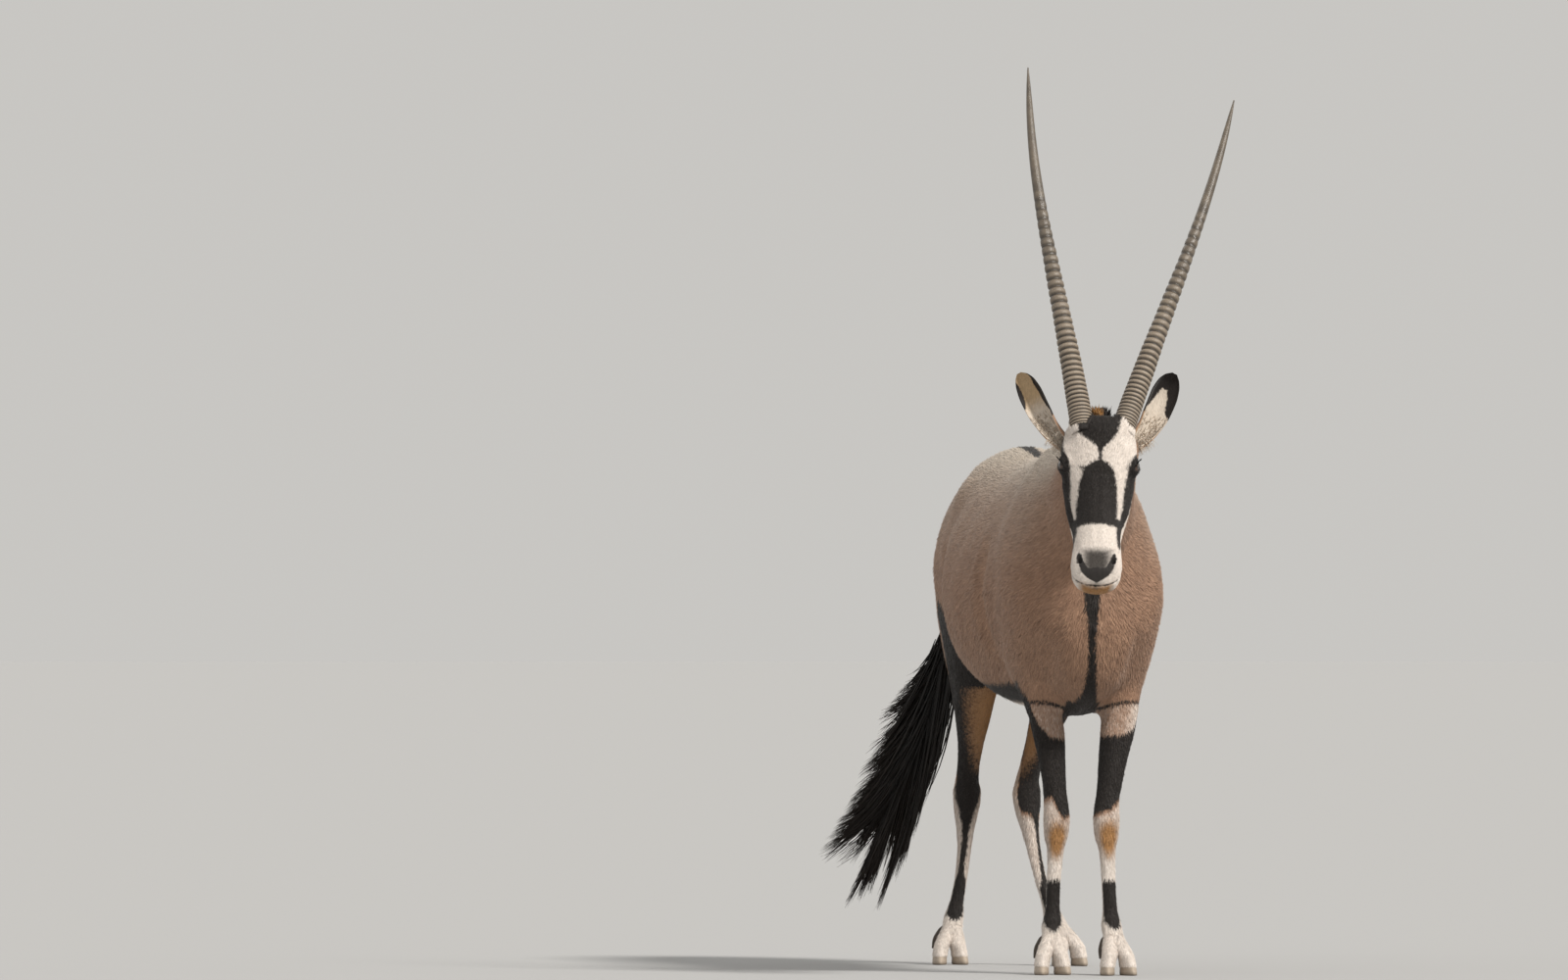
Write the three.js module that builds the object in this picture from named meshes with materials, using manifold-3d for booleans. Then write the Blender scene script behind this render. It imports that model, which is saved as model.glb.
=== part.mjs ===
// A gemsbok, life-size and standing still, as a museum shows one: body square to -Y, head low and turned
// to its right, horns swept back, the tail's long hair blown to its right.
// Millimetres. +X is the animal's left, -Y the way it faces, +Z up, and the hooves stand at z = 0.
import * as THREE from "three";
import { mergeVertices } from "three/addons/utils/BufferGeometryUtils.js";
import Module from "manifold-3d";

const wasm = await Module();
wasm.setup();

// Driving dimensions.
const GAP = 0.3; // between faces that touch
const FACE_SLOPE = 68; // degrees of the nose line below the horizontal
const HEAD_TURN = 9.5; // degrees to its right
const HEAD_TILT = 1.5; // degrees, crown to its left
const POLL = [-32, -790, 1270]; // top of the head between the ears
const HEAD_LENGTH = 428;
const NECK_FROM = [0, -330, 965];
const NECK_TO = [-9, -690, 1150];
const HORN_RINGS = 26;
const EYE_RADIUS = 21;
const FORE_CUT = 650; // where a foreleg leaves the trunk
const HIND_CUT = 700;
const HOOF_TOP = 45;
const TOE_APART = 22; // middle of a toe from the middle of its foot
const TOE_TURN = 9; // degrees outwards

const radians = THREE.MathUtils.degToRad;
const vector = (a) => new THREE.Vector3(...a);

// A smooth curve through rows of [where, value, value, ...] that never overshoots them.
function curve(rows) {
  const at = rows.map((r) => r[0]);
  const columns = rows[0].slice(1).map((_, k) => rows.map((r) => r[k + 1]));
  const slopes = columns.map((v) => {
    const step = at.slice(1).map((x, i) => (v[i + 1] - v[i]) / (x - at[i]));
    return at.map((_, i) => {
      if (i === 0 || i === at.length - 1) return step[Math.min(i, step.length - 1)];
      const [a, b] = [step[i - 1], step[i]];
      return a * b > 0 ? (2 * a * b) / (a + b) : 0;
    });
  });
  return (t) => {
    let i = 0;
    while (i < at.length - 2 && t > at[i + 1]) i++;
    const h = at[i + 1] - at[i];
    const u = THREE.MathUtils.clamp((t - at[i]) / h, 0, 1);
    const [a, b] = [u * u * (3 - 2 * u), u * (1 - u) * (1 - u)];
    const c = u * u * (u - 1);
    const bend = (k) => h * (slopes[k][i] * b + slopes[k][i + 1] * c);
    return columns.map((v, k) => v[i] * (1 - a) + v[i + 1] * a + bend(k));
  };
}

// A loft is rounded sections carried along a straight axis. Its rows are
// [along, sideways, lift, half width, above, below, roundness above, roundness below].
function loft(origin, axis, up, rows) {
  const along = vector(axis).normalize();
  const side = new THREE.Vector3().crossVectors(along, vector(up)).normalize();
  const rise = new THREE.Vector3().crossVectors(side, along);
  const [first, last] = [rows[0][0], rows[rows.length - 1][0]];
  const sizes = curve(rows);
  const from = vector(origin);
  const q = new THREE.Vector3();
  // The distance from a point to the section's outline, measured out from the section's middle.
  const distance = (p) => {
    q.subVectors(p, from);
    const t = q.dot(along);
    const held = THREE.MathUtils.clamp(t, first, last);
    const [sideways, lift, half, above, below, roundAbove, roundBelow] = sizes(held);
    const a = q.dot(side) - sideways;
    const b = q.dot(rise) - lift;
    const tall = b > 0 ? above : below;
    const n = b > 0 ? roundAbove : roundBelow;
    const reach = Math.hypot(a, b);
    const share = (Math.abs(a / half) ** n + Math.abs(b / tall) ** n) ** (1 / n);
    const d = share > 1e-6 ? reach - reach / share : -Math.min(half, tall);
    const past = Math.abs(t - held);
    return past > 0 ? Math.hypot(Math.max(d, 0), past) : d;
  };
  const middle = (t) => {
    const [sideways, lift] = sizes(t);
    return from.clone().addScaledVector(along, t).addScaledVector(side, sideways).addScaledVector(rise, lift);
  };
  return { distance, middle, along, side, rise, sizes };
}

// The smaller of two distances, rounded where they meet over a width k.
const blend = (a, b, k) => Math.min(a, b) - (Math.max(k - Math.abs(a - b), 0) ** 2) / (4 * k);

// How much a swelling (or, with a minus, a hollow) along a line raises the surface at a point.
const segment = new THREE.Line3();
const nearest = new THREE.Vector3();
function swelling(p, [from, to, height, wide]) {
  segment.set(from, to).closestPointToPoint(p, true, nearest);
  return height * Math.exp(-nearest.distanceToSquared(p) / (wide * wide));
}
const swellings = (list) => list.map(([from, to, height, wide]) => [vector(from), vector(to), height, wide]);

// Trunk: [y, low, widest level, top, half width, roundness above, roundness below].
const TRUNK = [
  [-572, 775, 800, 825, 22, 2, 2],
  [-555, 715, 805, 900, 74, 2, 2],
  [-520, 655, 815, 980, 112, 2, 1.9],
  [-460, 612, 840, 1080, 140, 1.9, 1.8],
  [-380, 592, 850, 1160, 158, 1.7, 1.8],
  [-270, 584, 855, 1194, 182, 1.5, 1.9],
  [-120, 586, 850, 1180, 215, 1.5, 2],
  [30, 592, 850, 1164, 232, 1.6, 2.1],
  [160, 602, 860, 1160, 232, 1.8, 2.1],
  [280, 632, 885, 1174, 218, 2, 2],
  [380, 682, 905, 1185, 200, 2, 2],
  [480, 712, 915, 1172, 186, 2, 2],
  [570, 730, 920, 1138, 162, 2, 2],
  [640, 772, 930, 1092, 124, 2.1, 2.1],
  [682, 850, 940, 1035, 72, 2.1, 2.1],
  [700, 915, 955, 990, 18, 2, 2],
];
const trunk = loft([0, 0, 0], [0, 1, 0], [0, 0, 1],
  TRUNK.map(([y, low, level, top, half, above, below]) =>
    [y, 0, level, half, top - level, level - low, above, below]));
const TRUNK_SWELLINGS = swellings([
  [[62, -235, 1165], [110, -420, 960], 12, 34], // ridge of the shoulder blade
  [[120, 330, 1120], [150, 300, 1080], 12, 42], // point of the hip
  [[60, 640, 1010], [66, 655, 940], 12, 40], // point of the buttock
  [[150, 250, 1010], [180, 240, 820], -14, 70], // hollow of the flank
  [[0, -520, 690], [0, -330, 590], 10, 34], // keel of the breastbone
]);

// Neck: [along, half width, above, below].
const NECK = [
  [-120, 105, 150, 170],
  [0, 128, 200, 232],
  [130, 108, 160, 186],
  [260, 90, 128, 142],
  [360, 80, 108, 108],
  [460, 66, 84, 84],
];
const neckAxis = vector(NECK_TO).sub(vector(NECK_FROM)).normalize();
const neck = loft(NECK_FROM, neckAxis.toArray(), [0, 0, 1],
  NECK.map(([t, half, above, below]) => [t, 0, 0, half, above, below, 1.8, 2]));

// The head's own frame: side to its left, down along the nose line, out from the face.
const headTurn = new THREE.Quaternion()
  .setFromAxisAngle(new THREE.Vector3(0, 0, 1), -radians(HEAD_TURN))
  .multiply(new THREE.Quaternion().setFromAxisAngle(new THREE.Vector3(0, 1, 0), radians(HEAD_TILT)));
const slope = radians(FACE_SLOPE);
const HEAD_SIDE = new THREE.Vector3(1, 0, 0).applyQuaternion(headTurn);
const HEAD_DOWN = new THREE.Vector3(0, -Math.cos(slope), -Math.sin(slope)).applyQuaternion(headTurn);
const HEAD_OUT = new THREE.Vector3(0, -Math.sin(slope), Math.cos(slope)).applyQuaternion(headTurn);
const headPoint = (s, t, u) =>
  vector(POLL).addScaledVector(HEAD_SIDE, s).addScaledVector(HEAD_DOWN, t).addScaledVector(HEAD_OUT, u);

// Head: [down from the poll, half width, front of the face, widest level, back or jaw, roundness front, back].
const HEAD = [
  [9, 20, -50, -66, -82, 2, 2],
  [17, 44, -26, -68, -110, 2, 2],
  [34, 66, -4, -66, -136, 2.2, 2],
  [54, 78, 6, -62, -152, 2.3, 2],
  [85, 83, 7, -56, -164, 2.2, 2.1],
  [130, 81, 5, -56, -172, 2.1, 2.1],
  [165, 76, 3, -62, -174, 2.1, 2.2],
  [205, 70, 1, -74, -164, 2, 2.2],
  [245, 64, 0, -76, -145, 2, 2.1],
  [290, 57.5, -1, -66, -123, 2.1, 2.1],
  [330, 55, -2, -54, -108, 2.2, 2.1],
  [362, 56, -4, -48, -100, 2.3, 2.2],
  [390, 54, -10, -48, -93, 2.3, 2.3],
  [410, 44, -20, -50, -86, 2.3, 2.3],
  [422, 28, -32, -52, -74, 2.1, 2.1],
  [HEAD_LENGTH, 10, -44, -52, -60, 2, 2],
];
const head = loft(POLL, HEAD_DOWN.toArray(), HEAD_OUT.toArray(),
  HEAD.map(([t, half, front, level, back, above, below]) =>
    [t, 0, level, half, front - level, level - back, above, below]));
const mirrored = (list) => list.flatMap(([a, b, height, wide]) =>
  [1, -1].map((m) => [headPoint(m * a[0], a[1], a[2]), headPoint(m * b[0], b[1], b[2]), height, wide]));
const HEAD_SWELLINGS = mirrored([
  [[70, 104, -30], [76, 120, -30], 9, 17], // brow over the eye
  [[68, 160, -52], [60, 230, -56], 5, 20], // cheekbone
  [[50, 20, -22], [50, 30, -18], 10, 26], // foot of the horn
  [[38, 356, -22], [44, 372, -34], 5, 14], // wing of the nostril
  [[30, 404, -62], [50, 372, -76], 5, 12], // upper lip
  [[60, 300, -60], [58, 250, -40], -4, 24], // hollow before the cheek
  [[66, 130, -166], [64, 170, -166], 5, 26], // angle of the jaw
]);

// Limbs: [z, outwards, y, half width, front, back]. The x of a limb's line is added by its stance.
const FORELEG = [
  [44, 0, -409, 37, 27, 24],
  [75, 0, -394, 27, 22, 20],
  [95, 0, -383, 23.5, 22, 24],
  [115, 0, -375, 22.5, 22, 27],
  [140, 0, -370, 18.5, 18, 24],
  [185, 0, -368, 17.5, 17, 22],
  [240, 0, -367, 18.5, 18, 22],
  [285, 0, -366, 22, 23, 25],
  [312, 0, -365, 28.5, 29, 30],
  [345, 0, -366, 31, 33, 31],
  [372, 0, -365, 29.5, 31, 28],
  [410, 0, -360, 27.5, 31, 27],
  [470, 0, -350, 31, 37, 32],
  [540, 0, -338, 38, 47, 40],
  [600, 0, -326, 41, 56, 54],
  [650, 0, -316, 45, 72, 78],
  [700, 0, -325, 49, 94, 102],
  [760, 0, -345, 52, 114, 126],
  [830, 0, -360, 56, 126, 136],
  [900, 0, -345, 50, 118, 128],
  [1000, 0, -290, 36, 80, 100],
  [1090, 0, -250, 18, 44, 56],
];
const HINDLEG = [
  [44, 0, 600, 37, 27, 24],
  [75, 0, 617, 27, 22, 20],
  [95, 0, 629, 23.5, 22, 24],
  [115, 0, 638, 22, 22, 27],
  [145, 0, 644, 17.5, 18, 24],
  [200, 0, 648, 16, 18, 22],
  [260, 0, 651, 17.5, 20, 24],
  [310, 0, 654, 22, 25, 29],
  [350, 0, 656, 29, 33, 37],
  [390, 0, 655, 31.5, 36, 48],
  [422, 0, 646, 27.5, 34, 58],
  [452, 0, 626, 26, 34, 56],
  [500, 0, 588, 29, 48, 64],
  [560, 0, 542, 38, 76, 92],
  [620, 0, 506, 48, 108, 134],
  [680, 0, 484, 62, 134, 166],
  [740, 0, 474, 76, 152, 186],
  [820, 0, 474, 88, 164, 202],
  [900, 0, 470, 88, 160, 206],
  [980, 0, 456, 78, 140, 198],
  [1050, 0, 440, 54, 100, 156],
  [1120, 0, 430, 24, 50, 80],
];
// A stance: x of the limb's line at heights, and how far the foot is set back, which fades up to the trunk.
const STANCES = {
  foreleg_right: {
    rows: FORELEG,
    line: [[0, -80], [110, -68], [200, -64], [345, -57], [440, -62], [540, -72], [650, -92], [760, -112], [900, -120],
      [1090, -70]],
    back: 10,
    cut: FORE_CUT,
  },
  foreleg_left: {
    rows: FORELEG,
    line: [[0, 66], [110, 54], [200, 50], [345, 47], [440, 58], [540, 78], [650, 97], [760, 112], [900, 120],
      [1090, 70]],
    back: -75,
    cut: FORE_CUT,
  },
  hindleg_right: {
    rows: HINDLEG,
    line: [[0, -146], [60, -134], [110, -121], [250, -97], [390, -90], [520, -93], [620, -98], [740, -99], [900, -94],
      [1120, -56]],
    back: 25,
    cut: HIND_CUT,
  },
  hindleg_left: {
    rows: HINDLEG,
    line: [[0, 118], [60, 106], [110, 84], [250, 46], [390, 31], [520, 53], [620, 82], [740, 99], [900, 94],
      [1120, 56]],
    back: -160,
    cut: HIND_CUT,
  },
};
const HIP = 900; // height where the set-back has faded out
const limbs = Object.fromEntries(Object.entries(STANCES).map(([name, { rows, line, back }]) => {
  const x = curve(line);
  const placed = rows.map(([z, out, y, half, front, rear]) => {
    const share = Math.max(1 - z / HIP, 0);
    return [z, x(z)[0] + out, -(y + back * share), half, front, rear, 2.1, 2];
  });
  // Its side is +X and its rise -Y, so that above means forwards.
  return [name, loft([0, 0, 0], [0, 0, 1], [0, -1, 0], placed)];
}));

const mirrorPoint = new THREE.Vector3();
function trunkDistance(p) {
  mirrorPoint.set(Math.abs(p.x), p.y, p.z);
  return trunk.distance(p) - TRUNK_SWELLINGS.reduce((sum, s) => sum + swelling(mirrorPoint, s), 0);
}
const headDistance = (p) => head.distance(p) - HEAD_SWELLINGS.reduce((sum, s) => sum + swelling(p, s), 0);
const bodyDistance = (p) => blend(trunkDistance(p), neck.distance(p), 90);
const neckDistance = (p) => blend(bodyDistance(p), headDistance(p), 34);
const LIMB_BLEND = 50;
const limbDistance = (name) => (p) => blend(limbs[name].distance(p), trunkDistance(p), LIMB_BLEND);
// The trunk with the tops of the limbs, which run down a little past where the legs' own solids begin.
function torsoDistance(p) {
  const body = bodyDistance(p);
  return Object.entries(limbs).reduce((nearest, [name, limb]) =>
    Math.min(nearest, Math.max(blend(limb.distance(p), body, LIMB_BLEND), STANCES[name].cut - TORSO_CELL - p.z)),
  body);
}

// How far the surface lies from a middle along a ray, by steps and then halvings.
const probe = new THREE.Vector3();
function reachAlong(distance, from, way, level, limit) {
  const outside = (r) => distance(probe.copy(from).addScaledVector(way, r)) > level;
  const STEP = 6;
  let near = 0;
  let far = STEP;
  while (far < limit && !outside(far)) [near, far] = [far, far + STEP];
  if (far >= limit) return limit;
  for (let i = 0; i < 14; i++) {
    const half = (near + far) / 2;
    if (outside(half)) far = half;
    else near = half;
  }
  return (near + far) / 2;
}

// A closed body through rings of points, whose ends are closed by fans from their middles.
function ringBody(rings) {
  const sides = rings[0].length;
  const points = rings.flat();
  const ends = [rings[0], rings[rings.length - 1]].map((ring) =>
    ring.reduce((sum, p) => sum.add(p), new THREE.Vector3()).divideScalar(sides));
  const faces = [];
  rings.slice(1).forEach((_, i) => {
    for (let j = 0; j < sides; j++) {
      const [a, b] = [i * sides + j, i * sides + ((j + 1) % sides)];
      faces.push(a, b, b + sides, a, b + sides, a + sides);
    }
  });
  const last = (rings.length - 1) * sides;
  for (let j = 0; j < sides; j++) {
    const k = (j + 1) % sides;
    faces.push(points.length, k, j, points.length + 1, last + j, last + k);
  }
  const geometry = new THREE.BufferGeometry();
  const numbers = [...points, ...ends].flatMap((p) => p.toArray());
  geometry.setAttribute("position", new THREE.Float32BufferAttribute(numbers, 3));
  geometry.setIndex(faces);
  return solid(geometry);
}

// A closed three.js geometry as a solid, turned outside out if need be.
function solid(geometry) {
  const bare = new THREE.BufferGeometry().setAttribute("position", geometry.getAttribute("position"));
  if (geometry.index) bare.setIndex(geometry.index);
  const merged = mergeVertices(bare, 1e-3);
  const vertProperties = new Float32Array(merged.getAttribute("position").array);
  const build = (triVerts) => new wasm.Manifold(new wasm.Mesh({ numProp: 3, vertProperties, triVerts }));
  const faces = Array.from(merged.index.array);
  const kept = [];
  for (let i = 0; i < faces.length; i += 3) {
    const [a, b, c] = faces.slice(i, i + 3);
    if (a !== b && b !== c && a !== c) kept.push(a, b, c);
  }
  const made = build(Uint32Array.from(kept));
  if (made.volume() > 0) return made;
  for (let i = 0; i < kept.length; i += 3) [kept[i + 1], kept[i + 2]] = [kept[i + 2], kept[i + 1]];
  return build(Uint32Array.from(kept));
}

const RAY_LIMIT = 400;

// The largest closed body of a solid.
const largest = (made) => made.decompose().reduce((best, s) => (s.volume() > best.volume() ? s : best));

// Rings by rays from a row of section planes to a surface. A plane may say how its rays are spread over an
// oval instead of evenly, and then no ray runs much past that oval, so that it can't run on into a neighbour.
function sampled(distance, planes, sides, level = 0) {
  return ringBody(planes.map(({ middle, side, rise, oval }) =>
    Array.from({ length: sides }, (_, j) => {
      const turn = (2 * Math.PI * j) / sides;
      const [a, b] = oval ? oval(turn) : [Math.cos(turn), Math.sin(turn)];
      const size = Math.hypot(a, b);
      const way = side.clone().multiplyScalar(a / size).addScaledVector(rise, b / size);
      const r = reachAlong(distance, middle, way, level, oval ? 1.35 * size : RAY_LIMIT);
      return middle.clone().addScaledVector(way, r);
    })));
}

// A closed surface through the cells of a grid that it crosses: a point in each such cell, drawn on to the
// surface, and a face for each grid edge crossed. The points can then be moved out by `grown`.
function netted(distance, low, count, cell, grown = 0) {
  const corner = (i, j, k) => new THREE.Vector3(low[0] + i * cell, low[1] + j * cell, low[2] + k * cell);
  const index = (i, j, k) => (i * count[1] + j) * count[2] + k;
  const strides = [index(1, 0, 0), index(0, 1, 0), 1];
  const values = new Float64Array(count[0] * count[1] * count[2]);
  const everyCell = (visit) => {
    for (let i = 0; i < count[0]; i++)
      for (let j = 0; j < count[1]; j++) for (let k = 0; k < count[2]; k++) visit(i, j, k, index(i, j, k));
  };
  everyCell((i, j, k, n) => {
    values[n] = distance(corner(i, j, k));
  });
  const slopeAt = (p) => new THREE.Vector3(...[X, Y, Z].map((way) =>
    (distance(p.clone().addScaledVector(way, 0.5)) - distance(p.clone().addScaledVector(way, -0.5)))));
  const cells = new Map();
  const points = [];
  const sum = new THREE.Vector3();
  everyCell((i, j, k, n) => {
    if (i === count[0] - 1 || j === count[1] - 1 || k === count[2] - 1) return;
    let crossings = 0;
    sum.set(0, 0, 0);
    for (let axis = 0; axis < 3; axis++)
      for (let other = 0; other < 4; other++) {
        const [u, v] = [(axis + 1) % 3, (axis + 2) % 3];
        const at = [i, j, k];
        at[u] += other & 1;
        at[v] += other >> 1;
        const from = values[index(...at)];
        const to = values[index(...at) + strides[axis]];
        if (from < 0 === to < 0) continue;
        sum.add(corner(...at.map((x, m) => (m === axis ? x + from / (from - to) : x))));
        crossings++;
      }
    if (crossings === 0) return;
    const p = sum.clone().divideScalar(crossings);
    for (let step = 0; step < 3; step++) {
      const slope = slopeAt(p);
      p.addScaledVector(slope, -distance(p) / Math.max(slope.lengthSq(), 0.2));
    }
    if (grown !== 0) p.addScaledVector(slopeAt(p).normalize(), grown);
    cells.set(n, points.length);
    points.push(p);
  });
  const faces = [];
  everyCell((i, j, k, n) => {
    for (let axis = 0; axis < 3; axis++) {
      const at = [i, j, k];
      const [u, v] = [(axis + 1) % 3, (axis + 2) % 3];
      if (at[axis] === count[axis] - 1 || at[u] === 0 || at[v] === 0) continue;
      const inside = values[n] < 0;
      if (inside === values[n + strides[axis]] < 0) continue;
      const backs = [0, strides[u], strides[u] + strides[v], strides[v]];
      const [a, b, c, d] = backs.map((back) => cells.get(n - back));
      // The shorter diagonal splits the face.
      const [p, q, r, t] = [a, b, c, d].map((m) => points[m]);
      const halves = p.distanceTo(r) < q.distanceTo(t) ? [a, b, c, a, c, d] : [b, c, d, b, d, a];
      faces.push(...(inside ? halves : halves.reverse()));
    }
  });
  const geometry = new THREE.BufferGeometry();
  geometry.setAttribute("position", new THREE.Float32BufferAttribute(points.flatMap((p) => p.toArray()), 3));
  geometry.setIndex(faces);
  return solid(geometry);
}

const [X, Y, Z] = [new THREE.Vector3(1, 0, 0), new THREE.Vector3(0, 1, 0), new THREE.Vector3(0, 0, 1)];
const TORSO_CELL = 45;
const TORSO_LOW = [-292.5, -640, 525];
const TORSO_COUNT = [14, 32, 19];
const NECK_CUT = neck.middle(145);
const CUT_LEAN = radians(31);
const NECK_CUT_WAY = new THREE.Vector3(0, -Math.cos(CUT_LEAN), Math.sin(CUT_LEAN));

// A limb's part between two heights.
function limbPart(name, heights, sides, level = 0) {
  const limb = limbs[name];
  const planes = heights.map((z) => {
    const [, , half, front, rear] = limb.sizes(z);
    const oval = (turn) => [half * Math.cos(turn), (Math.sin(turn) > 0 ? front : rear) * Math.sin(turn)];
    return { middle: limb.middle(z), side: limb.side, rise: limb.rise, oval };
  });
  return sampled(limbDistance(name), planes, sides, level);
}

const between = (from, to, steps) =>
  Array.from({ length: steps + 1 }, (_, i) => from + ((to - from) * i) / steps);

// A plane's cut: keeps the side that the normal points to.
const kept = (made, point, normal) => made.trimByPlane(normal.toArray(), point.dot(normal));

const NECK_SIDES = 28;
// The nets close a little way up the neck, past where it is cut.
const NECK_END = NECK_CUT.dot(NECK_CUT_WAY) + 1.2 * TORSO_CELL;
const netOf = (distance, grown) =>
  netted((p) => Math.max(distance(p), p.dot(NECK_CUT_WAY) - NECK_END),
    TORSO_LOW, TORSO_COUNT, TORSO_CELL, grown);
const spared = netOf(bodyDistance, GAP);
// What is cut away under a limb's top: a block below the cut, less the trunk itself.
function underCut(name) {
  const cut = STANCES[name].cut;
  const { x, y } = limbs[name].middle(cut);
  const [, , half, front, rear] = limbs[name].sizes(cut);
  const room = 60;
  const block = new THREE.BoxGeometry(2 * (half + room), front + rear + 2 * room, 2 * TORSO_CELL + room)
    .translate(x, y + (rear - front) / 2, cut - TORSO_CELL - room / 2);
  return solid(block).subtract(spared);
}
const whole = kept(netOf(torsoDistance, 0), NECK_CUT, NECK_CUT_WAY.clone().negate());
const torso = largest(Object.keys(STANCES).reduce((rest, name) => rest.subtract(underCut(name)), whole));
const trunkGrown = netOf(bodyDistance, 2.2 * GAP);
const torsoGrown = netOf(torsoDistance, GAP);

// Neck: from the cut of the torso, turning to the face's own plane at the back of the head.
const headCut = vector([-20, -704, 1155]);
const headCutWay = new THREE.Vector3(0, -Math.cos(radians(10)), Math.sin(radians(10)))
  .applyAxisAngle(new THREE.Vector3(0, 0, 1), -radians(HEAD_TURN));
const NECK_STEPS = 7;
function neckPlanes() {
  const along = (s) => NECK_CUT.clone().lerp(headCut, s);
  return between(0, 1, NECK_STEPS).map((share) => {
    const normal = NECK_CUT_WAY.clone().lerp(headCutWay, share).normalize();
    const away = share === 0 ? GAP : share === 1 ? -GAP : 0;
    const rise = new THREE.Vector3().crossVectors(normal, X.clone().lerp(HEAD_SIDE, share)).normalize();
    const side = new THREE.Vector3().crossVectors(rise, normal);
    return { middle: along(share).addScaledVector(normal, away), side, rise };
  });
}
const NECK_SECTIONS = neckPlanes();
const neckBody = sampled(neckDistance, NECK_SECTIONS, NECK_SIDES);

// The mane stands along the crest of the neck.
const MANE_HEIGHT = 36;
const MANE_LOCKS = 18;
const crestOf = ({ middle, rise }) =>
  middle.clone().addScaledVector(rise, reachAlong(neckDistance, middle, rise, 0, RAY_LIMIT));
const crestLine = new THREE.CatmullRomCurve3(NECK_SECTIONS.map(crestOf));
const maneEnds = (made) => kept(kept(made, NECK_SECTIONS[0].middle, NECK_CUT_WAY),
  NECK_SECTIONS[NECK_STEPS].middle, headCutWay.clone().negate());
// Each lock stands on the crest and leans back, left and right by turns, shorter at both ends of the mane.
function maneLock(k) {
  const share = (k + 0.5) / MANE_LOCKS;
  const foot = crestLine.getPointAt(share);
  const forward = crestLine.getTangentAt(share);
  const ends = Math.min(0.4 + 2.2 * share, 1, 0.7 + 4 * (1 - share));
  const height = MANE_HEIGHT * ends * (0.9 + 0.1 * Math.cos(2.4 * k));
  const lean = k % 2 === 0 ? 1 : -1;
  const root = foot.clone().add(new THREE.Vector3(lean * 4, 0, -14));
  const bend = foot.clone().add(new THREE.Vector3(lean * 5, 0, 0.6 * height));
  const tip = foot.clone().addScaledVector(forward, -0.55 * height);
  tip.add(new THREE.Vector3(lean * 7, 0, height));
  return lock(root, bend, tip, 36, 15, X, 3);
}

// Head: sections across the face, cut off flat where the neck meets it.
const HEAD_PLANES = [
  11, 16, 24, 36, 52, 74, 100, 120, 140, 165, 195, 225, 255, 285, 315, 340, 360, 378, 394, 408, 418, 425,
];
function headBody(level) {
  const planes = HEAD_PLANES.map((t) => ({ middle: head.middle(t), side: HEAD_SIDE, rise: HEAD_OUT }));
  const made = sampled((p) => blend(headDistance(p), neck.distance(p), 34), planes, 28, level);
  return largest(kept(made, headCut, headCutWay));
}

const nodes = [];
const COLOURS = {
  coat: 0xa58468,
  pale: 0xe6dccb,
  dark: 0x2a201a,
  ear: 0xcbb08c,
  horn: 0x5e564c,
  hoof: 0x4a4038,
  eye: 0x140d09,
};
const ROUGH = { coat: 0.85, pale: 0.85, dark: 0.8, ear: 0.85, horn: 0.5, hoof: 0.6, eye: 0.15 };
const materials = Object.fromEntries(Object.keys(COLOURS).map((k) =>
  [k, new THREE.MeshStandardMaterial({ color: COLOURS[k], roughness: ROUGH[k], metalness: 0 })]));

function node(name, made, finish) {
  const body = largest(made).getMesh();
  const positions = new Float32Array(body.numVert * 3);
  for (let i = 0; i < body.numVert; i++)
    positions.set(body.vertProperties.subarray(i * body.numProp, i * body.numProp + 3), 3 * i);
  const geometry = new THREE.BufferGeometry();
  geometry.setAttribute("position", new THREE.BufferAttribute(positions, 3));
  geometry.setIndex(new THREE.BufferAttribute(body.triVerts, 1));
  geometry.computeVertexNormals();
  const mesh = new THREE.Mesh(geometry, materials[finish]);
  mesh.name = name;
  nodes.push(mesh);
}

// A tube through [point, width, thickness] stations, flattened across its own flat way.
const FRAME_UP = new THREE.Vector3(0, 1, 0.2).normalize();
function strap(stations, sides, flatWay = FRAME_UP) {
  const rings = stations.map(([point, width, thick], i) => {
    const back = stations[Math.max(i - 1, 0)][0];
    const ahead = stations[Math.min(i + 1, stations.length - 1)][0];
    const along = ahead.clone().sub(back).normalize();
    const wide = new THREE.Vector3().crossVectors(along, flatWay).normalize();
    const flat = new THREE.Vector3().crossVectors(wide, along);
    return Array.from({ length: sides }, (_, j) => {
      const turn = (2 * Math.PI * j) / sides;
      return point.clone()
        .addScaledVector(wide, (width / 2) * Math.cos(turn))
        .addScaledVector(flat, (thick / 2) * Math.sin(turn));
    });
  });
  return ringBody(rings);
}

// A lock of hair, flat and bending, full a third of the way along and drawn out to its tip.
function lock(root, bend, tip, width, thickness, flatWay, steps = 4) {
  const path = new THREE.QuadraticBezierCurve3(root, bend, tip);
  return strap(between(0, 1, steps).map((share) => {
    const fullness = share < 0.35 ? 0.7 + 0.3 * (share / 0.35) : 1 - 0.93 * ((share - 0.35) / 0.65) ** 1.3;
    return [path.getPoint(share), width * fullness, thickness * fullness];
  }), 4, flatWay);
}

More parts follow.
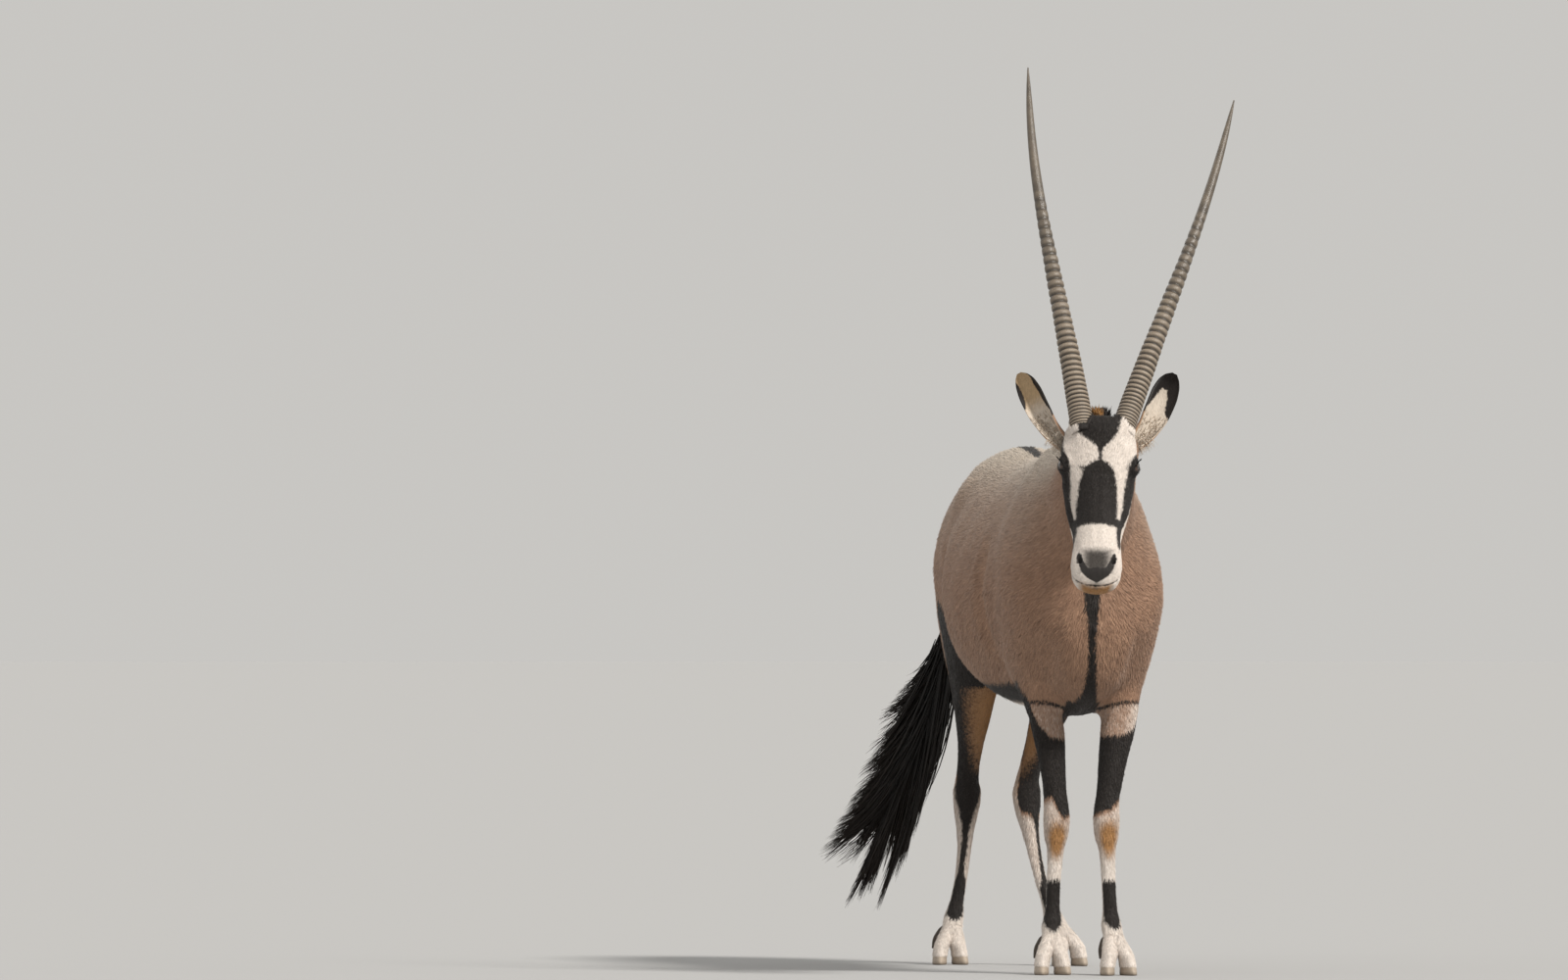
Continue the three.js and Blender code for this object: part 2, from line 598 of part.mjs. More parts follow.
// Horns: ringed on their lower part, smooth above, each bowed outwards a little.
const HORN_SHAPE = curve([
  [0, 26.5], [0.15, 23.5], [0.3, 20], [0.45, 16.5], [0.6, 13],
  [0.75, 10.5], [0.88, 7.6], [0.95, 4.6], [1, 1.4],
]);
const HORNS = {
  horn_left: { from: [17, -782, 1208], to: [342, -385, 1956], bow: [12, -10, 0] },
  horn_right: { from: [-70, -786, 1208], to: [-126, -385, 2027], bow: [-20, -8, 0] },
};
const HORN_SIDES = 8;
const RINGED = 0.64; // share of the horn that carries rings
const ringAt = (k) => 0.055 + (RINGED - 0.055) * (0.72 * (k / HORN_RINGS) + 0.28 * (k / HORN_RINGS) ** 2);
function horn({ from, to, bow }, grown = 0) {
  const [a, b] = [vector(from), vector(to)];
  const shares = [0];
  for (let k = 0; k < HORN_RINGS; k++) {
    const [here, next] = [ringAt(k), ringAt(k + 1)];
    shares.push(here, here + (next - here) * 0.62);
  }
  shares.push(...between(RINGED, 1, 9));
  const along = b.clone().sub(a).normalize();
  const side = new THREE.Vector3().crossVectors(along, new THREE.Vector3(0, -1, 0)).normalize();
  const front = new THREE.Vector3().crossVectors(side, along);
  const rings = shares.map((s, i) => {
    // The bow is fullest two thirds of the way up.
    const bent = a.clone().lerp(b, s).addScaledVector(vector(bow), Math.sin(Math.PI * s ** 1.7));
    const onRing = i > 0 && i <= 2 * HORN_RINGS && i % 2 === 0;
    const depth = 2.3 * Math.max(1 - s / RINGED, 0) ** 0.6;
    const r = HORN_SHAPE(s)[0] + (onRing ? depth * 0.35 : -depth * (i > 0 ? 1 : 0)) + grown;
    return Array.from({ length: HORN_SIDES }, (_, j) => {
      const turn = (2 * Math.PI * j) / HORN_SIDES;
      return bent.clone()
        .addScaledVector(side, r * Math.cos(turn))
        .addScaledVector(front, r * Math.sin(turn));
    });
  });
  return ringBody(rings);
}

// Ears: a leaf rolled into a cup. Rows are [share, half width, arc each side in degrees, thickness].
const EAR_ROWS = curve([
  [0, 20, 118, 19], [0.12, 22, 112, 10], [0.3, 25, 96, 5], [0.5, 30, 82, 4],
  [0.7, 31, 72, 3.4], [0.85, 27, 64, 3], [0.95, 18, 56, 2.4], [1, 8, 50, 1.6],
]);
const EARS = {
  ear_left: { base: [82, -748, 1172], tip: [152, -704, 1341], faces: [0.28, -1, 0], width: 1.12 },
  ear_right: { base: [-136, -744, 1173], tip: [-201, -700, 1341], faces: [-0.7, -0.75, 0], width: 0.88 },
};
function ear({ base, tip, faces, width }) {
  const [from, to] = [vector(base), vector(tip)];
  const along = to.clone().sub(from).normalize();
  const side = new THREE.Vector3().crossVectors(along, vector(faces)).normalize();
  const open = new THREE.Vector3().crossVectors(side, along).normalize();
  const ARC = 6;
  const rings = [0, 0.08, 0.2, 0.34, 0.5, 0.66, 0.8, 0.9, 0.96, 1].map((s) => {
    const [half, degrees, thick] = EAR_ROWS(s);
    const arc = radians(degrees);
    const radius = (half * width) / Math.sin(Math.min(arc, Math.PI / 2));
    const middle = from.clone().lerp(to, s);
    middle.addScaledVector(open, radius * Math.cos(arc) * 0.4 - 10 * Math.sin(Math.PI * s));
    // The root bends in to the side of the head.
    middle.addScaledVector(HEAD_SIDE, -Math.sign(HEAD_SIDE.dot(along)) * 42 * (1 - s) ** 4);
    const at = (r, turn) =>
      middle.clone().addScaledVector(side, r * Math.sin(turn)).addScaledVector(open, -r * Math.cos(turn));
    const outer = between(-arc, arc, ARC).map((turn) => at(radius, turn));
    const hollow = Math.max(radius - thick, 1.2);
    const inner = between(arc * 0.94, -arc * 0.94, ARC).map((turn) => at(hollow, turn));
    return [...outer, ...inner];
  });
  return ringBody(rings);
}

// Eyes, with their lids as thick almond rims on the head.
const EYE = [67.5, 131, -38];
const eyeMiddle = (m) => headPoint(m * EYE[0], EYE[1], EYE[2]);
const EYE_SIDES = 12;
function ball(centre, radius) {
  const sphere = new THREE.SphereGeometry(radius, EYE_SIDES, 8).rotateZ(-Math.PI / 2);
  return solid(sphere.translate(...centre.toArray()));
}
function lid(m, upper) {
  // From the front corner to the rear one, over or under the ball.
  const stations = between(0, 1, 7).map((share) => {
    const turn = Math.PI * share;
    const rise = (upper ? 1 : -1) * 12 * Math.sin(turn);
    const down = -rise * 0.92 - 17 * Math.cos(turn) * 0.2;
    const out = 17 * Math.cos(turn) * 0.98 + 4;
    const lateral = Math.sqrt(Math.max(21.5 ** 2 - down * down - out * out, 30)) - 2.5;
    const point = headPoint(m * (EYE[0] + lateral), EYE[1] + down, EYE[2] + out);
    const size = (upper ? 10.5 : 8.5) * (0.6 + 0.4 * Math.sin(turn));
    return [point, size, size];
  });
  return strap(stations, 6, HEAD_SIDE);
}

// The mouth line is a thin cut, a few millimetres deep, from corner to corner round the front.
const MOUTH_CORNER = [0, 316, -84];
const MOUTH_FRONT = [0, 421, -30];
const MOUTH_GAP = 3;
function mouthLine() {
  const [corner, front] = [headPoint(...MOUTH_CORNER), headPoint(...MOUTH_FRONT)];
  const ahead = front.clone().sub(corner);
  const reach = ahead.length() + 30;
  ahead.normalize();
  const across = new THREE.Vector3().crossVectors(HEAD_SIDE, ahead);
  const plate = new THREE.BoxGeometry(160, reach, MOUTH_GAP).translate(0, reach / 2, 0)
    .applyMatrix4(new THREE.Matrix4().makeBasis(HEAD_SIDE, ahead, across).setPosition(corner));
  return solid(plate).subtract(headBody(-5));
}
const nostril = (m) => strap([
  [headPoint(m * 42, 353, 6), 5, 3],
  [headPoint(m * 39, 360, -8), 14, 8],
  [headPoint(m * 34, 370, -19), 14, 8],
  [headPoint(m * 27, 379, -26), 5, 4],
], 8, HEAD_SIDE);

// Feet: two pointed toes with a cleft between them, and two dewclaws behind.
function hoof(x, y, m, turn) {
  // Half width, front and heel at heights over the ground.
  const rows = [[0, 17.5, 44, 33], [3, 18.5, 45, 34], [22, 17.5, 34, 31], [HOOF_TOP - GAP, 15, 20, 26]];
  return ringBody(rows.map(([z, half, front, heel]) => Array.from({ length: 14 }, (_, j) => {
    const a = (2 * Math.PI * j) / 14;
    const along = Math.sin(a) > 0 ? front : heel;
    // The inner wall is flatter than the outer one and the toe comes to a point.
    const wide = Math.cos(a) * m > 0 ? half : half * 0.8;
    const pointed = Math.sin(a) > 0 ? 1 - 0.25 * Math.sin(a) ** 2 : 1;
    const p = new THREE.Vector3(wide * Math.cos(a) * pointed, -along * Math.sin(a), 0);
    p.applyAxisAngle(new THREE.Vector3(0, 0, 1), turn);
    return p.add(new THREE.Vector3(x + m * TOE_APART, y, z));
  })));
}

node("torso", torso, "coat");
const mane = Array.from({ length: MANE_LOCKS }, (_, k) => maneLock(k));
node("neck", neckBody.add(maneEnds(wasm.Manifold.union(mane))), "coat");
const headGrown = headBody(GAP);
const lids = [1, -1].flatMap((m) => [lid(m, true), lid(m, false)]);
const sockets = [1, -1].map((m) => ball(eyeMiddle(m), EYE_RADIUS + GAP));
const withLids = lids.reduce((sum, l) => sum.add(l), headBody(0));
const openings = [...sockets, mouthLine(), nostril(1), nostril(-1)];
const carved = openings.reduce((rest, cut) => rest.subtract(cut), withLids);
node("head", carved, "coat");
node("eye_left", ball(eyeMiddle(1), EYE_RADIUS), "eye");
node("eye_right", ball(eyeMiddle(-1), EYE_RADIUS), "eye");
for (const [name, shape] of Object.entries(HORNS)) node(name, horn(shape).subtract(headGrown), "horn");
for (const [name, shape] of Object.entries(EARS)) {
  const neckGrown = sampled(neckDistance, NECK_SECTIONS, NECK_SIDES, 2 * GAP);
  const clear = [headGrown, neckGrown, ...Object.values(HORNS).map((h) => horn(h, GAP))];
  node(name, clear.reduce((rest, cut) => rest.subtract(cut), ear(shape)), "ear");
}

const FORE_PARTS = [
  ["forearm", "dark", [FORE_CUT - GAP, 620, 580, 530, 480, 430, 400]],
  ["cannon", "pale", [400 - GAP, 375, 345, 315, 290, 240, 180, 135]],
  ["pastern", "pale", [135 - GAP, 115, 95, 75, HOOF_TOP]],
];
const HIND_PARTS = [
  ["thigh", "dark", [HIND_CUT - GAP, 660, 620, 580, 540]],
  ["shank", "dark", [540 - GAP, 510, 480, 455]],
  ["cannon", "pale", [455 - GAP, 425, 395, 360, 320, 260, 200, 140]],
  ["pastern", "pale", [140 - GAP, 115, 95, 75, HOOF_TOP]],
];
for (const name of Object.keys(STANCES)) {
  const parts = name.startsWith("fore") ? FORE_PARTS : HIND_PARTS;
  for (const [part, finish, heights] of parts) {
    const made = limbPart(name, heights, 12);
    node(`${name}_${part}`, heights[0] > 500 ? made.subtract(trunkGrown) : made, finish);
  }
}

// Feet.
for (const name of Object.keys(STANCES)) {
  const limb = limbs[name];
  const foot = limb.middle(HOOF_TOP);
  for (const m of [1, -1]) {
    const side = m > 0 ? "left" : "right";
    node(`${name}_hoof_${side}`, hoof(foot.x, foot.y - 4, m, m * radians(TOE_TURN)), "hoof");
    const claw = strap([
      [limb.middle(88).add(vector([m * 13, 10, 0])), 12, 10],
      [limb.middle(74).add(vector([m * 19, 24, 0])), 20, 15],
      [limb.middle(57).add(vector([m * 26, 35, 0])), 18, 12],
      [limb.middle(44).add(vector([m * 31, 40, -8])), 8, 6],
    ], 8);
    const clear = limbPart(name, [130, 115, 95, 75, HOOF_TOP], 12, GAP);
    node(`${name}_dewclaw_${side}`, claw.subtract(clear), "hoof");
  }
}

// Tail: a short-haired dock, then the long hair.
const DOCK = [
  [[0, 622, 1072], 58, 52],
  [[-3, 686, 1062], 48, 42],
  [[-16, 736, 1020], 38, 34],
  [[-48, 772, 940], 32, 30],
  [[-76, 786, 870], 30, 28],
  [[-98, 797, 806], 30, 26],
];
// The tuft's core, which ends half way to the tips of the hair.
const TUFT = [
  [[-98, 797, 806 - GAP], 30, 26],
  [[-119, 800, 730], 40, 34],
  [[-137, 802, 662], 46, 36],
  [[-155, 806, 600], 46, 34],
  [[-174, 808, 540], 38, 28],
  [[-190, 810, 490], 14, 12],
];
// The fringe of the long hair, from the upper tips that the wind lifts round to the near edge:
// [share, x, z, how far up the core these hairs are rooted].
const FRINGE = curve([
  [0, -262, 566, 0.2],
  [0.09, -294, 522, 0.25],
  [0.2, -337, 393, 0.42],
  [0.31, -365, 320, 0.5],
  [0.46, -424, 209, 0.66],
  [0.6, -344, 138, 0.72],
  [0.74, -284, 122, 0.7],
  [0.86, -236, 168, 0.52],
  [0.94, -198, 236, 0.34],
  [1, -168, 340, 0.16],
]);
const TAIL_LOCKS = 40;
const placed = (rows) => rows.map(([p, width, thick]) => [vector(p), width, thick]);
const TAIL_BACK = vector([0, 1, 0.15]).normalize();
const flatCut = (made, z, upwards) => made.trimByPlane([0, 0, upwards ? 1 : -1], upwards ? z : -z);
const dock = flatCut(strap(placed([...DOCK, [[-103, 798.5, 790], 30, 26]]), 12, TAIL_BACK), 806, true);
node("tail_dock", dock.subtract(torsoGrown), "dark");
const tuftLine = new THREE.CatmullRomCurve3(TUFT.map(([p]) => vector(p)));
// The locks follow the core down before they swing out to the fringe, in three layers from front to back.
function tailLock(k) {
  const share = (k + 0.5) / TAIL_LOCKS;
  const layer = (k % 3) - 1;
  const [x, z, up] = FRINGE(share);
  const rooted = Math.min(Math.max(up + 0.06 * Math.sin(5.1 * k), 0.04), 0.86);
  const root = tuftLine.getPointAt(rooted);
  const down = tuftLine.getTangentAt(rooted);
  const short = layer === 0 ? 0 : 0.08 + 0.08 * Math.sin(2.3 * k) ** 2;
  const tip = new THREE.Vector3(x, 822 + 5 * layer, z).lerp(root, short);
  const bend = root.clone().addScaledVector(down, 0.56 * root.distanceTo(tip));
  // The near edge bulges to the animal's left before it comes in to the tips.
  bend.x += 34 * Math.max(share - 0.6, 0) * 2.5;
  bend.y += 17 * layer;
  return lock(root, bend, tip, 44, 15, TAIL_BACK, 5);
}
const coreStrap = strap(placed([[[-93, 796, 822], 30, 26], ...TUFT]), 12, TAIL_BACK);
const tuftCore = flatCut(coreStrap, 806 - GAP, false);
const tuftHair = wasm.Manifold.union(Array.from({ length: TAIL_LOCKS }, (_, k) => tailLock(k)));
node("tail_tuft", flatCut(tuftCore.add(tuftHair), 806 - GAP, false), "dark");

// Everything is moved so that the middle of the box round it stands on the origin.
const box = new THREE.Box3();
for (const mesh of nodes)
  box.union(new THREE.Box3().setFromBufferAttribute(mesh.geometry.getAttribute("position")));
const middle = box.getCenter(new THREE.Vector3());
for (const mesh of nodes) mesh.geometry.translate(-middle.x, -middle.y, -box.min.z);

const group = new THREE.Group();
group.add(...nodes);
export default group;
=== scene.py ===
import functools
import math

import bpy
import numpy as np
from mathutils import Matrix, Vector


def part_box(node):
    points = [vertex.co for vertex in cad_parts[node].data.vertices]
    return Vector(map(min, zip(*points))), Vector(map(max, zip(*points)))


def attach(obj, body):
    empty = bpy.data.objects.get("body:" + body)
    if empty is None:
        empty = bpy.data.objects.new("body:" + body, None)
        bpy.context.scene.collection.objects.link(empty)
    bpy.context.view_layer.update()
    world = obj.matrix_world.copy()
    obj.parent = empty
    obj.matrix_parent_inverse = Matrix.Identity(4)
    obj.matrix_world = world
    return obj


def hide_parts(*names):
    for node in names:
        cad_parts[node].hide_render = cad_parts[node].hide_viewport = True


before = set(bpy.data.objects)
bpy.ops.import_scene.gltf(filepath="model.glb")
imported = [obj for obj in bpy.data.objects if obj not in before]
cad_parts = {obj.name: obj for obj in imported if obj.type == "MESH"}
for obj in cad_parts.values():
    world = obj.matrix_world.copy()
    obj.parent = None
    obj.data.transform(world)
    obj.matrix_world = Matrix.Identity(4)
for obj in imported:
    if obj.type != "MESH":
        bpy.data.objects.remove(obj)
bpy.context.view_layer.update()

bl_info = {
    "name": "Gemsbok",
    "version": (1, 0, 0),
    "blender": (4, 5, 0),
    "location": "3D View > Sidebar > Gemsbok",
    "description": "Dresses a life-size gemsbok: skin, short coat, mane, tail, horns, hooves, eyes and stage",
    "category": "Object",
}

# Small tools.


def unit(v):
    """A vector, or rows of them, at length one."""
    v = np.asarray(v, float)
    return v / np.maximum(np.linalg.norm(v, axis=-1, keepdims=True), 1e-12)


def linear(code):
    """An sRGB hex colour as linear red, green and blue."""
    parts = [int(code[i:i + 2], 16) / 255 for i in (1, 3, 5)]
    return tuple(c / 12.92 if c <= 0.04045 else ((c + 0.055) / 1.055) ** 2.4 for c in parts)


def smooth(low, high, x):
    """0 below low, 1 above high, an S between."""
    t = np.clip((x - low) / (high - low), 0, 1)
    return t * t * (3 - 2 * t)


def curve(rows):
    """A smooth curve through rows of [where, value, ...] that never overshoots: cubic pieces whose slopes are
    the harmonic means of the steps on each side."""
    table = np.array(rows, float)
    at, values = table[:, 0], table[:, 1:]
    width = np.diff(at)
    step = np.diff(values, axis=0) / width[:, None]
    slopes = np.empty_like(values)
    slopes[0], slopes[-1] = step[0], step[-1]
    same = step[:-1] * step[1:] > 0
    slopes[1:-1] = np.where(same, 2 * step[:-1] * step[1:] / np.where(same, step[:-1] + step[1:], 1), 0)

    def value(t):
        i = np.clip(np.searchsorted(at, t, side="right") - 1, 0, len(at) - 2)
        u = np.clip((t - at[i]) / width[i], 0, 1)[..., None]
        h = width[i][..., None]
        a = u * u * (3 - 2 * u)
        bend = slopes[i] * u * (1 - u) ** 2 + slopes[i + 1] * u * u * (u - 1)
        return values[i] * (1 - a) + values[i + 1] * a + h * bend

    return value


def corner_shares(points):
    """The share of a broken line's length at which each of its corners lies."""
    steps = np.linalg.norm(np.diff(np.array(points, float), axis=0), axis=1)
    return np.concatenate([[0], np.cumsum(steps)]) / steps.sum()


def along_line(points, share):
    """Points at shares of the length of a smooth curve through some points."""
    return curve(np.column_stack([corner_shares(points), points]))(np.asarray(share, float))


def one_sided(p):
    """Points, with those on the right side mirrored to the left."""
    return np.column_stack([np.abs(p[:, 0]), p[:, 1:]])


def to_line(p, points, widths):
    """Distance from points to a broken line, and the line's width at the nearest place, from its widths at its
    corners."""
    best = np.full(len(p), 1e9)
    wide = np.zeros(len(p))
    points, widths = np.array(points, float), np.array(widths, float)
    for a, b, wa, wb in zip(points[:-1], points[1:], widths[:-1], widths[1:]):
        t = np.clip(((p - a) @ (b - a)) / ((b - a) @ (b - a)), 0, 1)
        d = np.linalg.norm(p - a - t[:, None] * (b - a), axis=1)
        nearer = d - (wa + (wb - wa) * t) < best - wide
        best = np.where(nearer, d, best)
        wide = np.where(nearer, wa + (wb - wa) * t, wide)
    return best, wide


def blend(a, b, k):
    """The smaller of two distances, rounded where they meet over a width k."""
    return np.minimum(a, b) - np.maximum(k - np.abs(a - b), 0) ** 2 / (4 * k)


def carve(a, b, k):
    """The first body less the second, with the edge rounded over a width k."""
    return -blend(-a, b, k)


class Loft:
    """Rounded sections carried along a straight axis. Rows are
    [along, sideways, lift, half width, above, below, roundness above, roundness below]."""

    def __init__(self, origin, axis, up, rows):
        self.origin = np.array(origin, float)
        self.along = unit(axis)
        self.side = unit(np.cross(self.along, up))
        self.rise = np.cross(self.side, self.along)
        self.first, self.last = rows[0][0], rows[-1][0]
        self.sizes = curve(rows)

    def chart(self, p):
        """A point's places along, across and above the axis."""
        q = p - self.origin
        return q @ self.along, q @ self.side, q @ self.rise

    def middle(self, t):
        """The middle of the section at t."""
        sideways, lift = self.sizes(np.asarray(t, float))[..., :2].T
        return self.origin + np.multiply.outer(t, self.along) + np.multiply.outer(sideways, self.side) \
            + np.multiply.outer(lift, self.rise)

    def distance(self, p):
        """Distance from the section's outline, measured out from its middle: reach less reach over share, where
        share is the power sum of the two places over the two half sizes."""
        t, a, b = self.chart(p)
        held = np.clip(t, self.first, self.last)
        sideways, lift, half, above, below, n_above, n_below = self.sizes(held).T
        a, b = a - sideways, b - lift
        tall = np.where(b > 0, above, below)
        n = np.where(b > 0, n_above, n_below)
        reach = np.hypot(a, b)
        share = ((np.abs(a) / half) ** n + (np.abs(b) / tall) ** n) ** (1 / n)
        d = np.where(share > 1e-6, reach - reach / np.maximum(share, 1e-6), -np.minimum(half, tall))
        past = np.abs(t - held)
        return np.where(past > 0, np.hypot(np.maximum(d, 0), past), d)


def swell(p, forms):
    """How much swellings raise the surface: each is a height times exp(-(distance to its line / width) squared)."""
    total = np.zeros(len(p))
    for start, end, height, wide in forms:
        a, b = np.array(start, float), np.array(end, float)
        span = b - a
        t = np.clip((p - a) @ span / max(span @ span, 1e-9), 0, 1)
        d = p - a - t[:, None] * span
        total += height * np.exp(-np.einsum("ij,ij->i", d, d) / wide ** 2)
    return total


# The body's form, in millimetres, as in the solids.

# [y, low, widest level, top, half width, roundness above, roundness below]
TRUNK_ROWS = [
    [-572, 775, 800, 825, 22, 2, 2], [-555, 715, 805, 900, 74, 2, 2], [-520, 655, 815, 980, 112, 2, 1.9],
    [-460, 612, 840, 1080, 140, 1.9, 1.8], [-380, 592, 850, 1160, 158, 1.7, 1.8], [-270, 584, 855, 1194, 182, 1.5, 1.9],
    [-120, 586, 850, 1180, 215, 1.5, 2], [30, 592, 850, 1164, 232, 1.6, 2.1], [160, 602, 860, 1160, 232, 1.8, 2.1],
    [280, 632, 885, 1174, 218, 2, 2], [380, 682, 905, 1185, 200, 2, 2], [480, 712, 915, 1172, 186, 2, 2],
    [570, 730, 920, 1138, 162, 2, 2], [640, 772, 930, 1092, 124, 2.1, 2.1], [682, 850, 940, 1035, 72, 2.1, 2.1],
    [700, 915, 955, 990, 18, 2, 2],
]
TRUNK = Loft([0, 0, 0], [0, 1, 0], [0, 0, 1],
             [[y, 0, level, half, top - level, level - low, a, b] for y, low, level, top, half, a, b in TRUNK_ROWS])
TRUNK_FORMS = [
    ([62, -235, 1165], [110, -420, 960], 12, 34),
    ([120, 330, 1120], [150, 300, 1080], 12, 42),
    ([60, 640, 1010], [66, 655, 940], 12, 40),
    ([150, 250, 1010], [180, 240, 820], -14, 70),
    ([0, -520, 690], [0, -330, 590], 10, 34),
]
# Finer muscles and hollows of the skin alone, on both sides.
TRUNK_FOLDS = [
    ([70, -215, 1120], [135, -395, 890], -9, 19),
    ([122, -395, 820], [150, -340, 700], -5, 20),
    ([86, -470, 800], [92, -455, 770], 8, 30),
    ([84, -500, 745], [90, -480, 690], -10, 27),
    ([46, -530, 800], [50, -500, 660], 4, 13),
    ([120, -300, 1050], [172, -250, 870], 6, 46),
    ([150, -455, 860], [120, -520, 760], 5, 34),
    ([60, -545, 880], [95, -515, 720], -5, 24),
    ([188, -160, 960], [180, -200, 740], -10, 24),
    ([150, -215, 700], [158, -120, 655], -7, 18),
    ([175, 290, 930], [205, 335, 740], -12, 42),
    ([120, 330, 1110], [150, 420, 1060], -5, 30),
    ([150, 470, 870], [130, 590, 760], -5, 26),
    ([150, 420, 1010], [165, 560, 900], 5, 60),
    ([110, 600, 960], [120, 560, 800], -4, 26),
]
RIBS = [([196 - 6 * abs(k - 3), -110 + 62 * k, 1010], [212 - 5 * abs(k - 3), -150 + 62 * k, 760], 1.6, 13)
        for k in range(6)]

NECK_FROM, NECK_TO = np.array([0, -330, 965.0]), np.array([-9, -690, 1150.0])
# [along, half width, above, below]
NECK_ROWS = [[-120, 105, 150, 170], [0, 128, 200, 232], [130, 108, 160, 186], [260, 90, 128, 142],
             [360, 80, 108, 108], [460, 66, 84, 84]]
NECK = Loft(NECK_FROM, NECK_TO - NECK_FROM, [0, 0, 1],
            [[t, 0, 0, half, above, below, 1.8, 2] for t, half, above, below in NECK_ROWS])
NECK_FOLDS = [
    ([60, -470, 890], [52, -640, 1060], -5, 17),
    ([-60, -470, 890], [-52, -640, 1060], -5, 17),
    ([-12, -640, 1030], [-8, -540, 890], 4, 16),
]

# The head's own frame: side to its left, down along the nose line, out from the face.
FACE_SLOPE, HEAD_TURN, HEAD_TILT = math.radians(68), math.radians(9.5), math.radians(1.5)
POLL = np.array([-32, -790, 1270.0])


def turned(v):
    """A vector of the untilted head, tilted about Y and then turned about Z."""
    x, y, z = v
    x, z = x * math.cos(HEAD_TILT) + z * math.sin(HEAD_TILT), -x * math.sin(HEAD_TILT) + z * math.cos(HEAD_TILT)
    c, s = math.cos(-HEAD_TURN), math.sin(-HEAD_TURN)
    return np.array([x * c - y * s, x * s + y * c, z])


HEAD_SIDE = turned((1, 0, 0))
HEAD_DOWN = turned((0, -math.cos(FACE_SLOPE), -math.sin(FACE_SLOPE)))
HEAD_OUT = turned((0, -math.sin(FACE_SLOPE), math.cos(FACE_SLOPE)))
HEAD_AXES = np.array([HEAD_SIDE, HEAD_DOWN, HEAD_OUT])


def head_point(place):
    """Places in the head's frame (side, down, out) as points."""
    return POLL + np.asarray(place, float) @ HEAD_AXES


def head_place(p):
    """Points as places in the head's frame."""
    return (p - POLL) @ HEAD_AXES.T


# [down from the poll, half width, front, widest level, back or jaw, roundness front, roundness back]
HEAD_ROWS = [
    [9, 20, -50, -66, -82, 2, 2], [17, 44, -26, -68, -110, 2, 2], [34, 66, -4, -66, -136, 2.2, 2],
    [54, 78, 6, -62, -152, 2.3, 2], [85, 83, 7, -56, -164, 2.2, 2.1], [130, 81, 5, -56, -172, 2.1, 2.1],
    [165, 76, 3, -62, -174, 2.1, 2.2], [205, 70, 1, -74, -164, 2, 2.2], [245, 64, 0, -76, -145, 2, 2.1],
    [290, 57.5, -1, -66, -123, 2.1, 2.1], [330, 55, -2, -54, -108, 2.2, 2.1], [362, 56, -4, -48, -100, 2.3, 2.2],
    [390, 54, -10, -48, -93, 2.3, 2.3], [410, 44, -20, -50, -86, 2.3, 2.3], [422, 28, -32, -52, -74, 2.1, 2.1],
    [428, 10, -44, -52, -60, 2, 2],
]
HEAD = Loft(POLL, HEAD_DOWN, HEAD_OUT,
            [[t, 0, level, half, front - level, level - back, a, b] for t, half, front, level, back, a, b in HEAD_ROWS])
# Swellings in the head's frame, on both sides: brow, cheekbone, horn foot, nostril wing, lip, hollow, jaw.
HEAD_FORMS = [
    ([70, 104, -30], [76, 120, -30], 9, 17), ([68, 160, -52], [60, 230, -56], 5, 20),
    ([50, 20, -22], [50, 30, -18], 10, 26), ([38, 356, -22], [44, 372, -34], 5, 14),
    ([30, 404, -62], [50, 372, -76], 5, 12), ([60, 300, -60], [58, 250, -40], -4, 24),
    ([66, 130, -166], [64, 170, -166], 5, 26),
]
# Finer forms of the skin alone: facial crest, hollow over the eye, chewing muscle, bridge, lower lip, tear groove.
HEAD_FOLDS = [
    ([74, 176, -58], [62, 262, -66], 3, 9), ([60, 74, -12], [68, 88, -22], -4, 11),
    ([70, 150, -110], [64, 200, -120], 4, 26), ([14, 180, 4], [12, 320, 2], 1.5, 9),
    ([28, 402, -84], [44, 372, -92], 3, 9), ([73, 146, -34], [66, 176, -40], -3, 7),
    ([46, 330, -20], [44, 346, -24], -2.5, 9), ([9, 392, -22], [4, 404, -30], 2, 6),
    ([0, 372, -14], [0, 412, -34], -2, 4), ([56, 60, -60], [50, 54, -100], 3, 18),
    ([74, 102, -70], [70, 92, -100], -3, 14),
]

EYE, EYE_RADIUS = np.array([67.5, 131, -38.0]), 21.0
MOUTH_CORNER, MOUTH_FRONT = np.array([0, 316, -84.0]), np.array([0, 421, -30.0])
NOSTRIL = [(41, 350, -2), (40.5, 357, -9), (36, 368, -17), (28, 377, -23)]
NOSTRIL_RADII = [2.2, 4.6, 5.2, 2.6]
LID = 2.8  # thickness of the eyelids

# [z, y, half width, front, back]; the x of a limb's line is added by its stance
FORELEG = [
    [44, -409, 37, 27, 24], [75, -394, 27, 22, 20], [95, -383, 23.5, 22, 24], [115, -375, 22.5, 22, 27],
    [140, -370, 18.5, 18, 24], [185, -368, 17.5, 17, 22], [240, -367, 18.5, 18, 22], [285, -366, 22, 23, 25],
    [312, -365, 28.5, 29, 30], [345, -366, 31, 33, 31], [372, -365, 29.5, 31, 28], [410, -360, 27.5, 31, 27],
    [470, -350, 31, 37, 32], [540, -338, 38, 47, 40], [600, -326, 41, 56, 54], [650, -316, 45, 72, 78],
    [700, -325, 49, 94, 102], [760, -345, 52, 114, 126], [830, -360, 56, 126, 136], [900, -345, 50, 118, 128],
    [1000, -290, 36, 80, 100], [1090, -250, 18, 44, 56],
]
